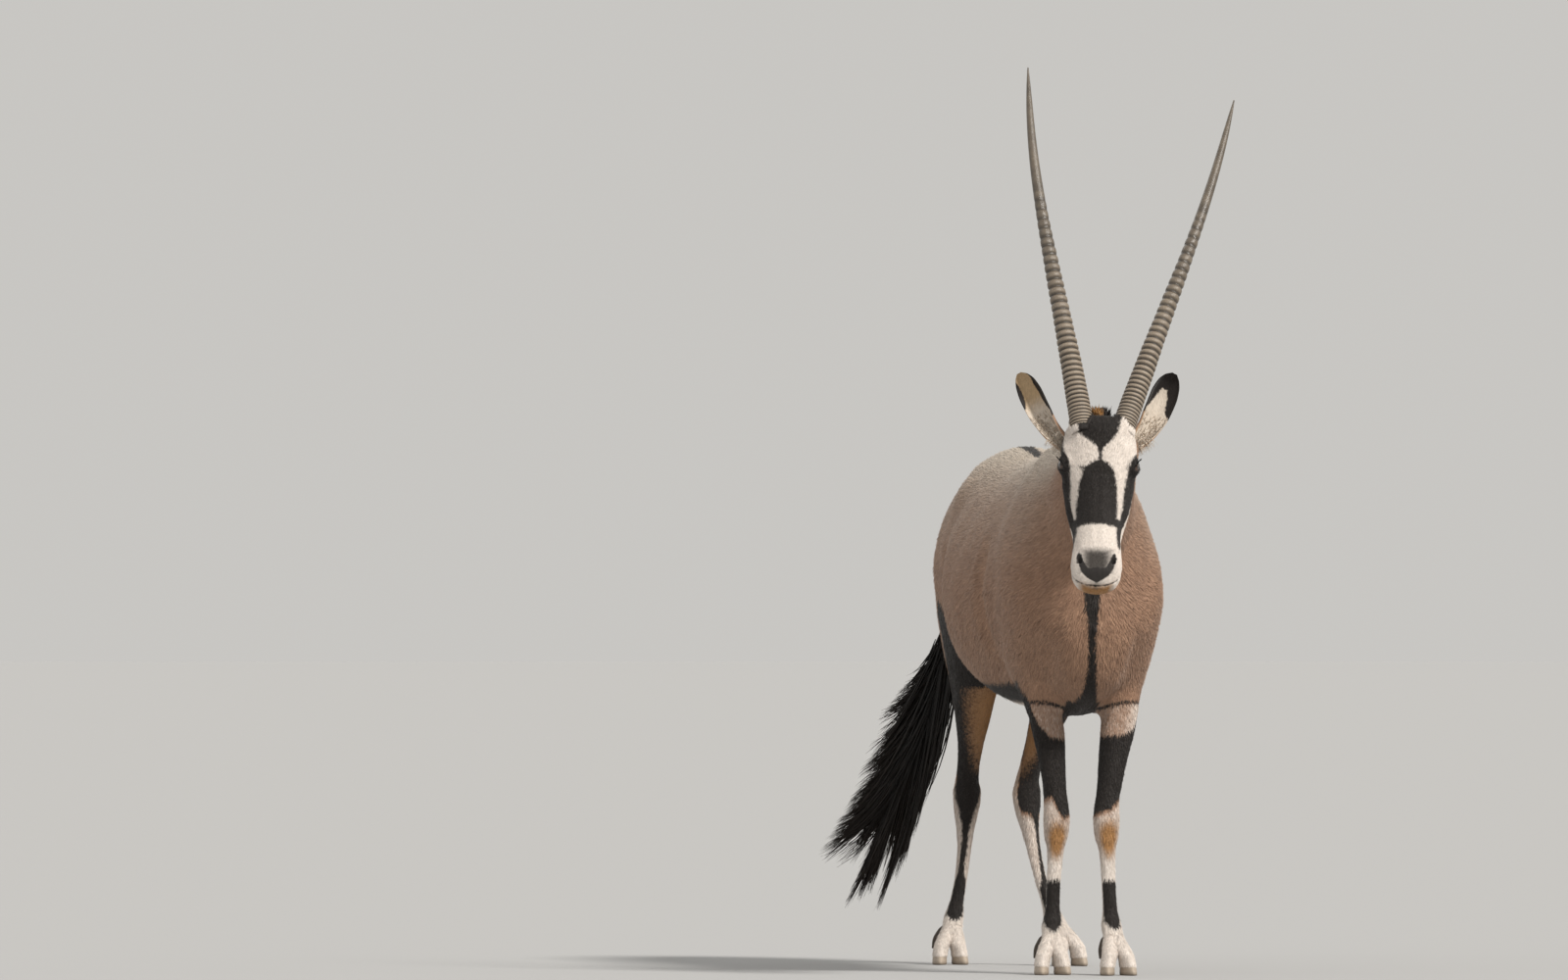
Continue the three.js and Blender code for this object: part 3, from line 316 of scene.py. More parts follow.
HINDLEG = [
    [44, 600, 37, 27, 24], [75, 617, 27, 22, 20], [95, 629, 23.5, 22, 24], [115, 638, 22, 22, 27],
    [145, 644, 17.5, 18, 24], [200, 648, 16, 18, 22], [260, 651, 17.5, 20, 24], [310, 654, 22, 25, 29],
    [350, 656, 29, 33, 37], [390, 655, 31.5, 36, 48], [422, 646, 27.5, 34, 58], [452, 626, 26, 34, 56],
    [500, 588, 29, 48, 64], [560, 542, 38, 76, 92], [620, 506, 48, 108, 134], [680, 484, 62, 134, 166],
    [740, 474, 76, 152, 186], [820, 474, 88, 164, 202], [900, 470, 88, 160, 206], [980, 456, 78, 140, 198],
    [1050, 440, 54, 100, 156], [1120, 430, 24, 50, 80],
]
HIP = 900  # height where a leg's set-back has faded out
# Rows, x of the limb's line at heights, how far the foot is set back, and the side of the body it is on.
STANCES = {
    "foreleg_right": (FORELEG, [[0, -80], [110, -68], [200, -64], [345, -57], [440, -62], [540, -72], [650, -92],
                                [760, -112], [900, -120], [1090, -70]], 10, -1),
    "foreleg_left": (FORELEG, [[0, 66], [110, 54], [200, 50], [345, 47], [440, 58], [540, 78], [650, 97], [760, 112],
                               [900, 120], [1090, 70]], -75, 1),
    "hindleg_right": (HINDLEG, [[0, -146], [60, -134], [110, -121], [250, -97], [390, -90], [520, -93], [620, -98],
                                [740, -99], [900, -94], [1120, -56]], 25, -1),
    "hindleg_left": (HINDLEG, [[0, 118], [60, 106], [110, 84], [250, 46], [390, 31], [520, 53], [620, 82], [740, 99],
                               [900, 94], [1120, 56]], -160, 1),
}


def limb_loft(rows, line, back):
    """A leg as a loft going up, whose front is towards -Y. The set-back is a share of one less z over the hip's
    height. The first section is carried a little further down, into the hooves."""
    x = curve(line)
    rows = [[rows[0][0] - 16, rows[0][1] - 4, 36, 26, 23], *rows]
    return Loft([0, 0, 0], [0, 0, 1], [0, -1, 0],
                [[z, x(np.array(float(z)))[0], -(y + back * max(1 - z / HIP, 0)), half, front, rear, 2.1, 2]
                 for z, y, half, front, rear in rows])


LIMBS = {name: limb_loft(rows, line, back) for name, (rows, line, back, _) in STANCES.items()}
OUTER = {name: stance[3] for name, stance in STANCES.items()}


def limb_folds(name):
    """Tendon grooves, bones of the knee or hock and the fetlock, as swellings along one leg."""
    limb, out = LIMBS[name], OUTER[name]
    forms = []

    def at(z, sideways, forwards):
        return limb.middle(np.array(float(z))) + np.array([sideways, -forwards, 0])

    for m in (-1, 1):
        forms.append((at(150, 18 * m, -7), at(275, 20 * m, -8), -3.2, 6.5))
        forms.append((at(100, 21 * m, -12), at(108, 21 * m, -14), 2.5, 12))
    if "fore" in name:
        forms += [(at(330, 22, 26), at(362, 20, 24), 2.5, 10), (at(330, -22, 26), at(362, -20, 24), 2.5, 10),
                  (at(350, 0, -31), at(372, 0, -28), 4, 11), (at(312, 0, 30), at(368, 0, 32), -1.5, 7),
                  (at(430, out * 20, 20), at(590, out * 34, 38), 5, 20),
                  (at(430, out * 30, -6), at(570, out * 38, -10), -4, 13),
                  (at(600, 0, -60), at(660, out * 10, -80), 5, 24)]
    else:
        forms += [(at(428, 0, -60), at(446, 0, -60), 4, 13), (at(430, 14, -34), at(520, 18, -52), -5, 13),
                  (at(430, -14, -34), at(520, -18, -52), -5, 13), (at(370, 24, 14), at(400, 24, 8), 3.5, 12),
                  (at(370, -24, 14), at(400, -24, 8), 3.5, 12), (at(560, out * 34, 30), at(660, out * 46, 70), 5, 26),
                  (at(640, out * 52, -30), at(860, out * 84, -60), -5, 28), (at(650, 0, 118), at(700, 0, 132), 5, 30)]
    return forms


LIMB_FOLDS = {name: limb_folds(name) for name in LIMBS}
LIMB_BLEND, NECK_BLEND, HEAD_BLEND = 50, 90, 34
COAT_DEPTH, FACE_DEPTH = 2.4, 1.2  # how far the skin lies inside the solids, on the body and on the face
ANKLE = 57.0  # where a leg's own form ends between its toes


def trunk_distance(p):
    """Distance from the trunk with its muscles, hollows and ribs."""
    return TRUNK.distance(p) - swell(one_sided(p), TRUNK_FORMS + TRUNK_FOLDS + RIBS)


def neck_distance(p):
    """Distance from the neck with its hollows."""
    return NECK.distance(p) - swell(p, NECK_FOLDS)


def eye_frame(m):
    """Middle of an eye, the way it looks, the way to its front corner and the way to its upper lid."""
    look = unit([m * 0.93, 0.06, 0.36])
    slit = np.array([0, 0.79, 0.62])
    corner = unit(slit - look * (slit @ look))
    return EYE * [m, 1, 1], look, corner, np.cross(look, corner) * m


SLIT_HALF, UPPER_LID, LOWER_LID = 16.5, 9.5, 8.5  # half the gap between the lids, and its height over and under


def lid_edge(a, upper):
    """How far over or under the slit's middle the lid's edge stands."""
    return np.where(upper, UPPER_LID, -LOWER_LID) * np.clip(1 - (a / SLIT_HALF) ** 2, 0, 1) ** 0.8


def almond(along, above):
    """Distance from the outline of the gap between the lids: two arcs that meet in sharp corners."""
    return np.maximum(np.abs(above) - np.abs(lid_edge(along, above > 0)), np.abs(along) - SLIT_HALF)


def mouth_chart(place):
    """How far places of the head lie in front of the mouth's corner along its line, and how far over the line."""
    ahead = unit(MOUTH_FRONT - MOUTH_CORNER)
    return (place - MOUTH_CORNER) @ ahead, (place - MOUTH_CORNER) @ np.cross([1, 0, 0], ahead)


def head_distance(p):
    """The head's loft with its swellings, raised over each eyeball, with the gap between the lids, the socket, the
    nostrils and the line of the mouth taken out. The face's hair is shorter than the body's."""
    mirrored = one_sided(head_place(p))
    d = HEAD.distance(p) - swell(mirrored, HEAD_FORMS + HEAD_FOLDS) + FACE_DEPTH
    middle, look, corner, upper = eye_frame(1)
    q = mirrored - middle
    near = np.linalg.norm(q, axis=1) < 70
    if near.any():
        n = q[near]
        reach = np.linalg.norm(n, axis=1)
        along, above, ahead = n @ corner, n @ upper, n @ look
        lidded = blend(d[near], reach - EYE_RADIUS - LID, 10)
        # A fold runs round over the upper lid.
        lidded += 1.6 * np.exp(-(almond(along, above * 0.9) - 8.5) ** 2 / 5) * (above > 0)
        gap = np.maximum(almond(along, above), 4 - ahead)
        lidded = carve(lidded, gap, 1.6)
        d[near] = carve(lidded, reach - EYE_RADIUS + 0.6, 1.0)
    near = (mirrored[:, 1] > 300) & (d < 30)
    if near.any():
        m = mirrored[near]
        away, radius = to_line(m, NOSTRIL, NOSTRIL_RADII)
        e = carve(d[near], away - radius, 3)
        from_corner, level = mouth_chart(m)
        d[near] = e + 3.4 * np.exp(-(level / 2.4) ** 2) * smooth(-4, 10, from_corner)
    return d - COAT_DEPTH


def part_of(field, p, where):
    """A field worked out only at the points where it can matter, and far off elsewhere."""
    d = np.full(len(p), 1e3)
    if where.any():
        d[where] = field(p[where])
    return d


def skin_distance(p):
    """The whole animal's surface under its coat: trunk, neck, legs and head run smoothly into each other."""
    x, y, z = p.T
    trunk = part_of(trunk_distance, p, z > 450)
    neck = part_of(neck_distance, p, (y < -100) & (z > 600))
    d = blend(trunk, neck, NECK_BLEND)
    d = blend(d, part_of(head_distance, p, (y < -560) & (z > 800)), HEAD_BLEND)
    for name, limb in LIMBS.items():
        front = (y < -60) if "fore" in name else (y > 80)
        near = front & (x * OUTER[name] > -100) & (z < 1180)
        d = blend(d, part_of(lambda q: leg_distance(name, q), p, near), LIMB_BLEND)
    return d + COAT_DEPTH


def leg_distance(name, p):
    """A leg's loft with its folds, rounded off where it meets the hooves."""
    d = LIMBS[name].distance(p) - swell(p, LIMB_FOLDS[name])
    return np.where(p[:, 2] < 110, -blend(-d, p[:, 2] - ANKLE + COAT_DEPTH, 22), d)


# Surfaces.


def slopes_of(field, p, step=0.5):
    """The field's slope at points, by differences."""
    out = np.empty_like(p)
    for axis in range(3):
        h = np.zeros(3)
        h[axis] = step
        out[:, axis] = (field(p + h) - field(p - h)) / (2 * step)
    return out


def settle(field, p, rounds=3):
    """Points moved along the slope on to the surface where the field is zero."""
    for _ in range(rounds):
        slope = slopes_of(field, p)
        p = p - slope * (field(p) / np.maximum(np.einsum("ij,ij->i", slope, slope), 0.2))[:, None]
    return p


BLOCK = 4  # cells of the net along each side of a block that is looked at first
BATCH = 300000  # places worked out at once


def net(field, low, high, cell):
    """The surface where a field is zero: one point in each cell of a grid that the surface crosses, at the mean of
    the crossings on the cell's edges and then moved on to the surface, and one quad for each grid edge crossed.
    Blocks of the grid that are far from the surface are passed over."""
    low = np.array(low, float)
    blocks = np.ceil((np.array(high, float) - low) / (cell * BLOCK)).astype(int)
    count = blocks * BLOCK + 1
    middles = np.stack(np.meshgrid(*[np.arange(n) + 0.5 for n in blocks], indexing="ij"), axis=-1).reshape(-1, 3)
    rough = field(low + middles * cell * BLOCK)
    coarse = rough.reshape(blocks)
    values = np.pad(coarse.repeat(BLOCK, 0).repeat(BLOCK, 1).repeat(BLOCK, 2), ((0, 1),) * 3, mode="edge")
    near = np.abs(coarse) < cell * BLOCK * 1.9 + 4
    wanted = np.zeros(count, bool)
    grown = near.repeat(BLOCK, 0).repeat(BLOCK, 1).repeat(BLOCK, 2)
    for corner in np.ndindex(2, 2, 2):
        wanted[tuple(slice(c, c + n) for c, n in zip(corner, grown.shape))] |= grown
    nodes = np.argwhere(wanted)
    for start in range(0, len(nodes), BATCH):
        part = nodes[start:start + BATCH]
        values[tuple(part.T)] = field(low + part * cell)
    inside = values < 0
    shape = count - 1
    total = np.zeros(shape)
    place = np.zeros((*shape, 3))
    base = np.stack(np.meshgrid(*[np.arange(n) for n in shape], indexing="ij"), axis=-1).astype(float)
    for axis in range(3):
        u, v = (axis + 1) % 3, (axis + 2) % 3
        for du in (0, 1):
            for dv in (0, 1):
                start = [slice(0, n) for n in shape]
                start[u] = slice(du, shape[u] + du)
                start[v] = slice(dv, shape[v] + dv)
                end = list(start)
                end[axis] = slice(1, shape[axis] + 1)
                a, b = values[tuple(start)], values[tuple(end)]
                crossed = inside[tuple(start)] != inside[tuple(end)]
                t = np.where(crossed, a / np.where(crossed, a - b, 1), 0)
                offset = np.zeros(3)
                offset[u], offset[v] = du, dv
                step = base + offset
                step[..., axis] += t
                place += step * crossed[..., None]
                total += crossed
    active = total > 0
    index = np.full(shape, -1)
    index[active] = np.arange(active.sum())
    points = low + cell * place[active] / total[active][:, None]
    faces = []
    for axis in range(3):
        u, v = (axis + 1) % 3, (axis + 2) % 3
        lower = [slice(1, n) for n in shape]
        lower[axis] = slice(0, shape[axis])
        upper = list(lower)
        upper[axis] = slice(1, shape[axis] + 1)
        a, b = inside[tuple(lower)], inside[tuple(upper)]
        i = np.argwhere(a != b)
        i[:, u] += 1
        i[:, v] += 1
        turn = a[a != b]
        back_u, back_v = np.zeros(3, int), np.zeros(3, int)
        back_u[u] = back_v[v] = 1
        quad = np.column_stack([index[tuple(c.T)] for c in (i, i - back_u, i - back_u - back_v, i - back_v)])
        quad[~turn] = quad[~turn][:, ::-1]
        faces.append(quad)
    return settle(field, points), np.concatenate(faces)


def trimmed(field, points, quads, origin, way):
    """A net cut at a plane, keeping the side that `way` points to: the quads that cross are dropped, and the loop
    left open is drawn on to the plane along the surface and returned in order."""
    height = (points - origin) @ way
    kept = quads[(height[quads] > 0).all(axis=1)]
    starts, ends = kept.ravel(), np.roll(kept, -1, axis=1).ravel()
    codes = starts.astype(np.int64) * len(points) + ends
    lone = ~np.isin(codes, ends.astype(np.int64) * len(points) + starts)
    following = dict(zip(starts[lone].tolist(), ends[lone].tolist()))
    loops = []
    while following:
        loop = [next(iter(following))]
        while loop[-1] in following:
            loop.append(following.pop(loop[-1]))
        loops.append(loop[:-1])
    loop = np.array(max(loops, key=len))
    rim = points[loop] - np.outer(height[loop], way)
    for _ in range(4):
        slope = slopes_of(field, rim)
        slope -= np.outer(slope @ way, way)
        rim = rim - slope * (field(rim) / np.maximum(np.einsum("ij,ij->i", slope, slope), 0.2))[:, None]
    points = points.copy()
    points[loop] = rim
    return points, kept, loop


def turn_along(points, loop, middle, side, rise):
    """The angle round a middle along a loop, never running back, with the loop turned to start at its lowest and to
    run the way of growing angle."""
    q = points[loop] - middle
    angle = np.arctan2(q @ rise, q @ side)
    if np.unwrap(angle)[-1] < np.unwrap(angle)[0]:
        loop, angle = loop[::-1], angle[::-1]
    start = int(np.argmin(angle))
    loop, angle = np.roll(loop, -start), np.roll(angle, -start)
    return loop, np.maximum.accumulate(np.unwrap(angle))


def zip_loops(a, angle_a, b, angle_b):
    """Triangles between two loops in order of angle: from each loop in turn, whichever next point comes first."""
    order = np.argsort(np.concatenate([angle_a, angle_b]), kind="stable")
    i, j = len(a) - 1, len(b) - 1
    triangles = []
    for k in order:
        if k < len(a):
            following = (i + 1) % len(a)
            triangles.append((a[i], a[following], b[j]))
            i = following
        else:
            following = (j + 1) % len(b)
            triangles.append((a[i], b[following], b[j]))
            j = following
    return np.array(triangles)


def halved(quads):
    """Quads split along their first diagonals."""
    return np.concatenate([quads[:, [0, 1, 2]], quads[:, [0, 2, 3]]])


def in_triangles(quads, points):
    """Quads split along their shorter diagonals."""
    a, b, c, d = quads.T
    first = np.linalg.norm(points[a] - points[c], axis=1) < np.linalg.norm(points[b] - points[d], axis=1)
    one = np.where(first[:, None], np.column_stack([a, b, c]), np.column_stack([a, b, d]))
    two = np.where(first[:, None], np.column_stack([a, c, d]), np.column_stack([b, c, d]))
    return np.concatenate([one, two])


def outwards(points, triangles, middle):
    """Triangles turned so that most face away from a middle."""
    a, b, c = points[triangles.T]
    normal = np.cross(b - a, c - a)
    return triangles if ((a - middle) * normal).sum() > 0 else triangles[:, ::-1]


NECK_SPLIT = np.array([-20, -704, 1155.0])
NECK_SPLIT_WAY = turned((0, -math.cos(math.radians(10)), math.sin(math.radians(10))))
SPLIT_HALF = 1.5  # half the gap that is zipped
BODY_CELL, HEAD_CELL = 7.9, 2.6
SKIN_LOW, SKIN_HIGH = (-262, -800, 30), (262, 720, 1260)
HEAD_LOW, HEAD_HIGH = (-160, -1000, 830), (130, -640, 1300)


@functools.lru_cache(maxsize=None)
def skin():
    """The whole skin as one surface, in modelling millimetres: a net over the body and a finer one over the head,
    both cut near one plane of the neck and zipped together, and a closed sleeve over each toe. Gives points,
    triangles and how many of the triangles are not the head's."""
    way = NECK_SPLIT_WAY
    body, body_quads = net(skin_distance, SKIN_LOW, SKIN_HIGH, BODY_CELL)
    head, head_quads = net(skin_distance, HEAD_LOW, HEAD_HIGH, HEAD_CELL)
    body, body_quads, body_loop = trimmed(skin_distance, body, body_quads, NECK_SPLIT - SPLIT_HALF * way, -way)
    head, head_quads, head_loop = trimmed(skin_distance, head, head_quads, NECK_SPLIT + SPLIT_HALF * way, way)
    start = len(body)
    points = np.concatenate([body, head])
    side = unit(np.cross(way, [0, 0, 1]))
    rise = np.cross(side, way)
    loop_a, angle_a = turn_along(points, body_loop, NECK_SPLIT, side, rise)
    loop_b, angle_b = turn_along(points, head_loop + start, NECK_SPLIT, side, rise)
    bridge = outwards(points, zip_loops(loop_a, angle_a, loop_b, angle_b), NECK_SPLIT)
    toes, toe_triangles = merged([toe_sleeve(limb, m) for limb in LIMBS.values() for m in (-1, 1)])
    bridge = np.concatenate([bridge, toe_triangles + len(points)])
    points = np.concatenate([points, toes])
    body_triangles = in_triangles(body_quads, points)
    head_triangles = in_triangles(head_quads + start, points)
    triangles = np.concatenate([body_triangles, bridge, head_triangles])
    used = np.unique(triangles)
    lookup = np.full(len(points), -1)
    lookup[used] = np.arange(len(used))
    return points[used], lookup[triangles], len(body_triangles) + len(bridge)


# A toe's ovals: [height, half width, front, heel], and how far its middle is from the middle of the foot.
TOE = curve([[0, 16.2, 41.5, 31.5], [1.2, 17.4, 43.6, 33], [4, 18.5, 44.6, 34], [22, 17.5, 34, 31], [44.5, 17, 25, 26],
             [60, 16.5, 22, 22], [76, 14.5, 18.5, 19.5], [96, 11, 14, 15]])
TOE_APART = curve([[0, 22], [24, 21.5], [44, 18.5], [60, 14], [76, 10], [96, 6]])
TOE_TURN = 9


def toe_rings(limb, m, z, wider, sides, ripple=0.0, inner=0.8):
    """Rings of one toe: ovals pointed in front, with the inner wall flatter, turned a little outwards. Over the hoof
    they follow the leg's line."""
    turn = m * math.radians(TOE_TURN)
    middle = limb.middle(np.maximum(z, 45.0))
    half, front, heel = TOE(z).T
    a = np.arange(sides) * 2 * math.pi / sides
    c, s = np.cos(a), np.sin(a)
    spread = (wider + ripple)[:, None]
    along = np.where(s[None, :] > 0, front[:, None], heel[:, None]) + spread
    px = (half[:, None] + spread) * np.where((c * m > 0)[None, :], 1, np.broadcast_to(inner, z.shape)[:, None]) \
        * (c * np.where(s > 0, 1 - 0.25 * s ** 2, 1))[None, :]
    py = -along * s[None, :]
    ct, st = math.cos(turn), math.sin(turn)
    across = (middle[:, 0] + m * TOE_APART(z)[:, 0])[:, None]
    return np.stack([across + px * ct - py * st, middle[:, 1:2] - 4 + px * st + py * ct,
                     np.broadcast_to(z[:, None], px.shape)], axis=-1)


def toe_sleeve(limb, m):
    """The furred skin of one toe, from just over the hoof's wall up into the leg."""
    z = np.array([17.0, 17.6, 20, 24, 29, 34, 40, 46, 52, 58, 64, 70, 76, 82, 89, 96])
    wider = np.interp(z, [17, 20, 44, 70, 96], [-3, 0.6, 0.2, 0.4, -1])
    return closed_rows(toe_rings(limb, m, z, wider, 28, inner=np.interp(z, [12, 30, 50], [0.84, 0.9, 1.1])))


def leg_chart(name, p):
    """Round a leg: the angle from its front, positive on its outer side, and its distance from the leg's surface."""
    limb = LIMBS[name]
    t, a, b = limb.chart(p)
    sideways, lift = limb.sizes(np.clip(t, limb.first, limb.last))[:, :2].T
    return np.degrees(np.arctan2((a - sideways) * OUTER[name], b - lift)), limb.distance(p)


def within(value, low, high):
    """Distance inside an interval, negative outside."""
    return np.minimum(value - low, high - value)


def either(*marks):
    """The union of marks given as distances inside their edges."""
    return functools.reduce(np.maximum, marks)


def stripe(p, points, widths):
    """Distance inside a stripe of given half widths along a broken line."""
    away, wide = to_line(p, points, widths)
    return wide - away


def by(rows, where):
    """A value read from a smooth curve of rows."""
    return curve(rows)(where)[..., 0]


def round_face(place):
    """How far round the face a place lies from its middle line: sideways over the front, and back along the side."""
    return np.abs(place[:, 0]) + 0.9 * np.maximum(-38 - place[:, 2], 0)


# Face marks, by distance down the face in mm: half width of the crown's patch, the two edges of the nose's, the inner
# and outer edge of each cheek's stripe round the face, and how far round the white reaches.
CROWN = [[-20, 50], [35, 50], [52, 47], [67, 41], [80, 32.5], [90, 22], [99, 12], [107, 6], [116, 3.4], [134, 3.4]]
NOSE_RIGHT = [[133, 3], [136, -6], [141, -16], [149, -28], [169, -37], [196, -42], [219, -45], [253, -47.5], [284, -48]]
NOSE_LEFT = [[133, 4], [136, 10], [141, 17], [146, 25], [169, 36], [203, 40.5], [236, 42], [284, 41]]
CHEEKS = {
    -1: [[-10, 60, 82], [11, 66, 86], [41, 76, 96], [66, 80, 104], [97, 80, 112], [115, 72, 116], [131, 66, 116],
         [150, 63, 110], [164, 62, 106], [190, 61, 102], [224, 61.5, 99], [251, 60.5, 93], [260, 57, 90],
         [270, 47, 87], [282, 45, 82], [295, 46, 77], [313, 49.5, 70], [326, 53, 63], [334, 55, 58], [340, 56, 53]],
    1: [[98, 90, 92], [106, 84, 108], [120, 74, 114], [131, 70, 114], [155, 64, 108], [184, 58.5, 100],
        [211, 56, 94], [241, 53.5, 86], [262, 49.5, 78], [274, 44, 71], [291, 42.5, 65], [311, 44, 58],
        [326, 47, 52], [334, 49, 47]],
}
JAW_STRAP = ([(54, 312, -70), (57, 285, -96), (62, 240, -130), (54, 190, -166), (30, 168, -178), (0, 160, -182)],
             [5, 6, 8, 10, 12, 14])
WHITE_REACH = [[0, 70], [60, 96], [110, 116], [160, 138], [240, 170], [430, 190]]
PAD_HALF = [[346, 38], [352, 42], [360, 42], [368, 41], [377, 39], [386, 36], [395, 31], [403, 23], [409, 12], [414, 3]]
PAD_TOP = [[0, 382], [9, 385], [17, 384], [24, 378], [30, 366], [35, 355], [40, 346], [46, 340]]


@functools.lru_cache(maxsize=None)
def jaw_strap():
    """The line under the jaw, with its corners drawn on to the skin."""
    return head_place(settle(skin_distance, head_point(JAW_STRAP[0]), 5))


def head_marks(p):
    """Marks of the face, worked out in the head's frame."""
    place = head_place(p)
    s, t, u = place.T
    mirrored = one_sided(place)
    w = round_face(place)
    front = u > -66
    crown = np.minimum(by(CROWN, t) - np.abs(s + 4 - 7 * smooth(60, 105, t)), 134 - t)
    crown = np.where(u < -70, np.minimum(crown, 26 - np.abs(s)), crown)
    nose = np.minimum(np.minimum(by(NOSE_LEFT, t) - s, s - by(NOSE_RIGHT, t)), within(t, 133, 284))
    bar = np.minimum(within(t, 261, 284), 60 - w)
    tick = stripe(place, [(-41, 150, -6), (-30, 152, -2)], [2.0, 3.0])
    dark = either(np.where(front, either(nose, bar), -40), crown, tick)
    for m, rows in CHEEKS.items():
        inner, outer = curve(rows)(t).T
        cheek = np.minimum(np.minimum(w - inner, outer - w), within(t, rows[0][0], 340))
        dark = np.where(s * m > 0, np.maximum(dark, cheek), dark)
    dark = either(dark, stripe(mirrored, jaw_strap(), JAW_STRAP[1]))
    # The lids and the skin round them are black.
    middle, look, corner, upper = eye_frame(1)
    q = mirrored - middle
    around = 19 - np.hypot(q @ corner / 1.35, q @ upper)
    dark = either(dark, np.where(q @ look > -4, around, -40))
    white = by(WHITE_REACH, t) - w
    from_corner, level = mouth_chart(mirrored)
    chin = np.minimum(np.minimum(-level, from_corner - 74), 34 - np.abs(s))
    poll = stripe(mirrored, [(0, 16, -60), (6, 10, -90)], [24, 22])
    rust = either(chin, poll)
    pad = np.minimum(np.minimum(by(PAD_HALF, t) - np.abs(s), 415 - t), t - by(PAD_TOP, np.abs(s)))
    pad -= 30 * (u < -50)
    nostrils = stripe(mirrored, NOSTRIL, np.array(NOSTRIL_RADII) + 2.5)
    mouth = np.minimum(1.5 - np.abs(level), from_corner - 30)
    soot = np.minimum(42 - np.abs(s), 1.6 * (t - 337)) - 30 * (u < -40) - 30 * (t > 396)
    return {"dark": dark, "white": white, "rust": rust, "bare": either(pad, nostrils, mouth), "soot": soot}


# By place along the trunk: the middle height and half width of the flank's band, and the half width of the back's line.
FLANK = [[-290, 640], [-120, 633], [30, 634], [150, 645], [240, 668], [310, 712], [370, 765], [430, 800]]
FLANK_HALF = [[-290, 24], [0, 18], [200, 19], [300, 24], [370, 32], [430, 34]]
DORSAL_HALF = [[-420, 10], [-200, 9], [100, 10], [300, 14], [450, 22], [560, 28], [640, 34], [700, 40]]
# The throat's line: height, middle and half width.
THROAT = [[560, -6, 50], [598, -6, 40], [606, -6, 31], [615, -5, 24], [630, -5, 17], [650, -6, 13], [690, -8, 9.5],
          [740, -10, 8.5], [780, -11, 9], [830, -12, 15], [870, -12, 17], [930, -13, 14], [1000, -15, 12],
          [1100, -18, 10]]
# The height of the chest's dark lower edge, by the distance from the middle: partly dark hair, partly painted shade
# under the chest.
RIM = [[0, 596], [30, 598], [60, 606], [90, 613], [200, 616]]


OUTSIDE = -60.0  # the distance given to a place far outside a mark


def body_marks(p):
    """Marks of the trunk and neck: the line along the back, the band along the flank, the throat's line, the belly
    and the rump."""
    x, y, z = p.T
    side = np.abs(x)
    dorsal = np.where(z > 1000, by(DORSAL_HALF, y) - side, OUTSIDE)
    level = by(FLANK, y)
    flank = np.minimum(by(FLANK_HALF, y) - np.abs(z - level), within(y, -330, 470))
    flank = np.where(side > 60, flank, OUTSIDE)
    at, half = curve(THROAT)(z).T
    axis = np.interp(y, [-690, -330, -250], [1150, 965, 500])
    throat = np.minimum(half - np.abs(x - at), (axis - z) * 0.5)
    # The chest's lower edge is dark: partly its own dark hair, partly painted shade under the chest
    brisket_dark_and_shade = np.minimum(by(RIM, side) - z, -150 - y)
    belly = np.minimum(np.minimum(level - by(FLANK_HALF, y), 700) - z, within(y, -210, 640))
    rump = stripe(one_sided(p), [(0, 700, 985), (10, 690, 940), (18, 672, 860), (20, 650, 760)], [14, 34, 44, 40])
    none = np.full(len(p), OUTSIDE)
    return {"dark": either(dorsal, flank, throat, brisket_dark_and_shade), "white": either(belly, 0.45 * rump - 6), "rust": none,
            "bare": none.copy(), "soot": none.copy()}


# Edges on the legs by the angle from the front, positive outside: [angle, height].
LEG_EDGES = {
    "foreleg_right": {"top": [[-180, 570], [-90, 530], [-50, 528], [-10, 530], [7, 537], [22, 551], [33, 568],
                              [43, 598], [54, 640], [180, 640]],
                      "bottom": [[-180, 385], [-90, 368], [-20, 356], [30, 400], [90, 392], [180, 385]]},
    "foreleg_left": {"top": [[-180, 570], [-90, 536], [-40, 536], [5, 538], [18, 542], [40, 554], [48, 566],
                             [60, 598], [74, 640], [180, 640]],
                     "bottom": [[-180, 392], [-90, 362], [0, 372], [70, 399], [120, 396], [180, 392]]},
    "hindleg_right": {"bottom": [[-180, 470], [-110, 432], [-60, 425], [0, 415], [60, 424], [110, 440], [180, 470]]},
    "hindleg_left": {"bottom": [[-180, 480], [-110, 475], [-70, 460], [-52, 420], [-38, 356], [20, 348], [80, 352],
                                [120, 400], [180, 480]]},
}
# The black line and patch down the front of the cannon: [height, middle angle, half width in mm].
CANNON_MARKS = {
    "foreleg_right": [[98, 4, 2], [106, 4, 12], [116, 4, 24], [130, 4, 33], [170, 4, 34], [206, 2, 32], [213, 0, 26]],
    "foreleg_left": [[104, 12, 2], [112, 10, 12], [122, 6, 22], [140, 3, 28], [190, 2, 28], [206, 2, 27], [213, 0, 22]],
    "hindleg_right": [[104, 4, 4], [110, 6, 16], [124, 8, 25], [150, 8, 28], [190, 12, 22], [207, 16, 13], [224, 18, 9],
                      [281, 10, 8], [320, 8, 9], [350, 6, 13], [380, 4, 20], [440, 0, 34]],
    "hindleg_left": [[106, 0, 4], [114, 4, 16], [130, 8, 24], [170, 12, 22], [204, 30, 9], [300, 42, 6.5],
                     [352, 30, 10], [380, 20, 20]],
}
# The rusty patch on each knee: height, middle angle, half height and half width in mm.
KNEES = {"foreleg_right": (303, 4, 40, 20), "foreleg_left": (307, 2, 39, 20)}
CANNON_RADIUS, KNEE_RADIUS = 22.0, 25


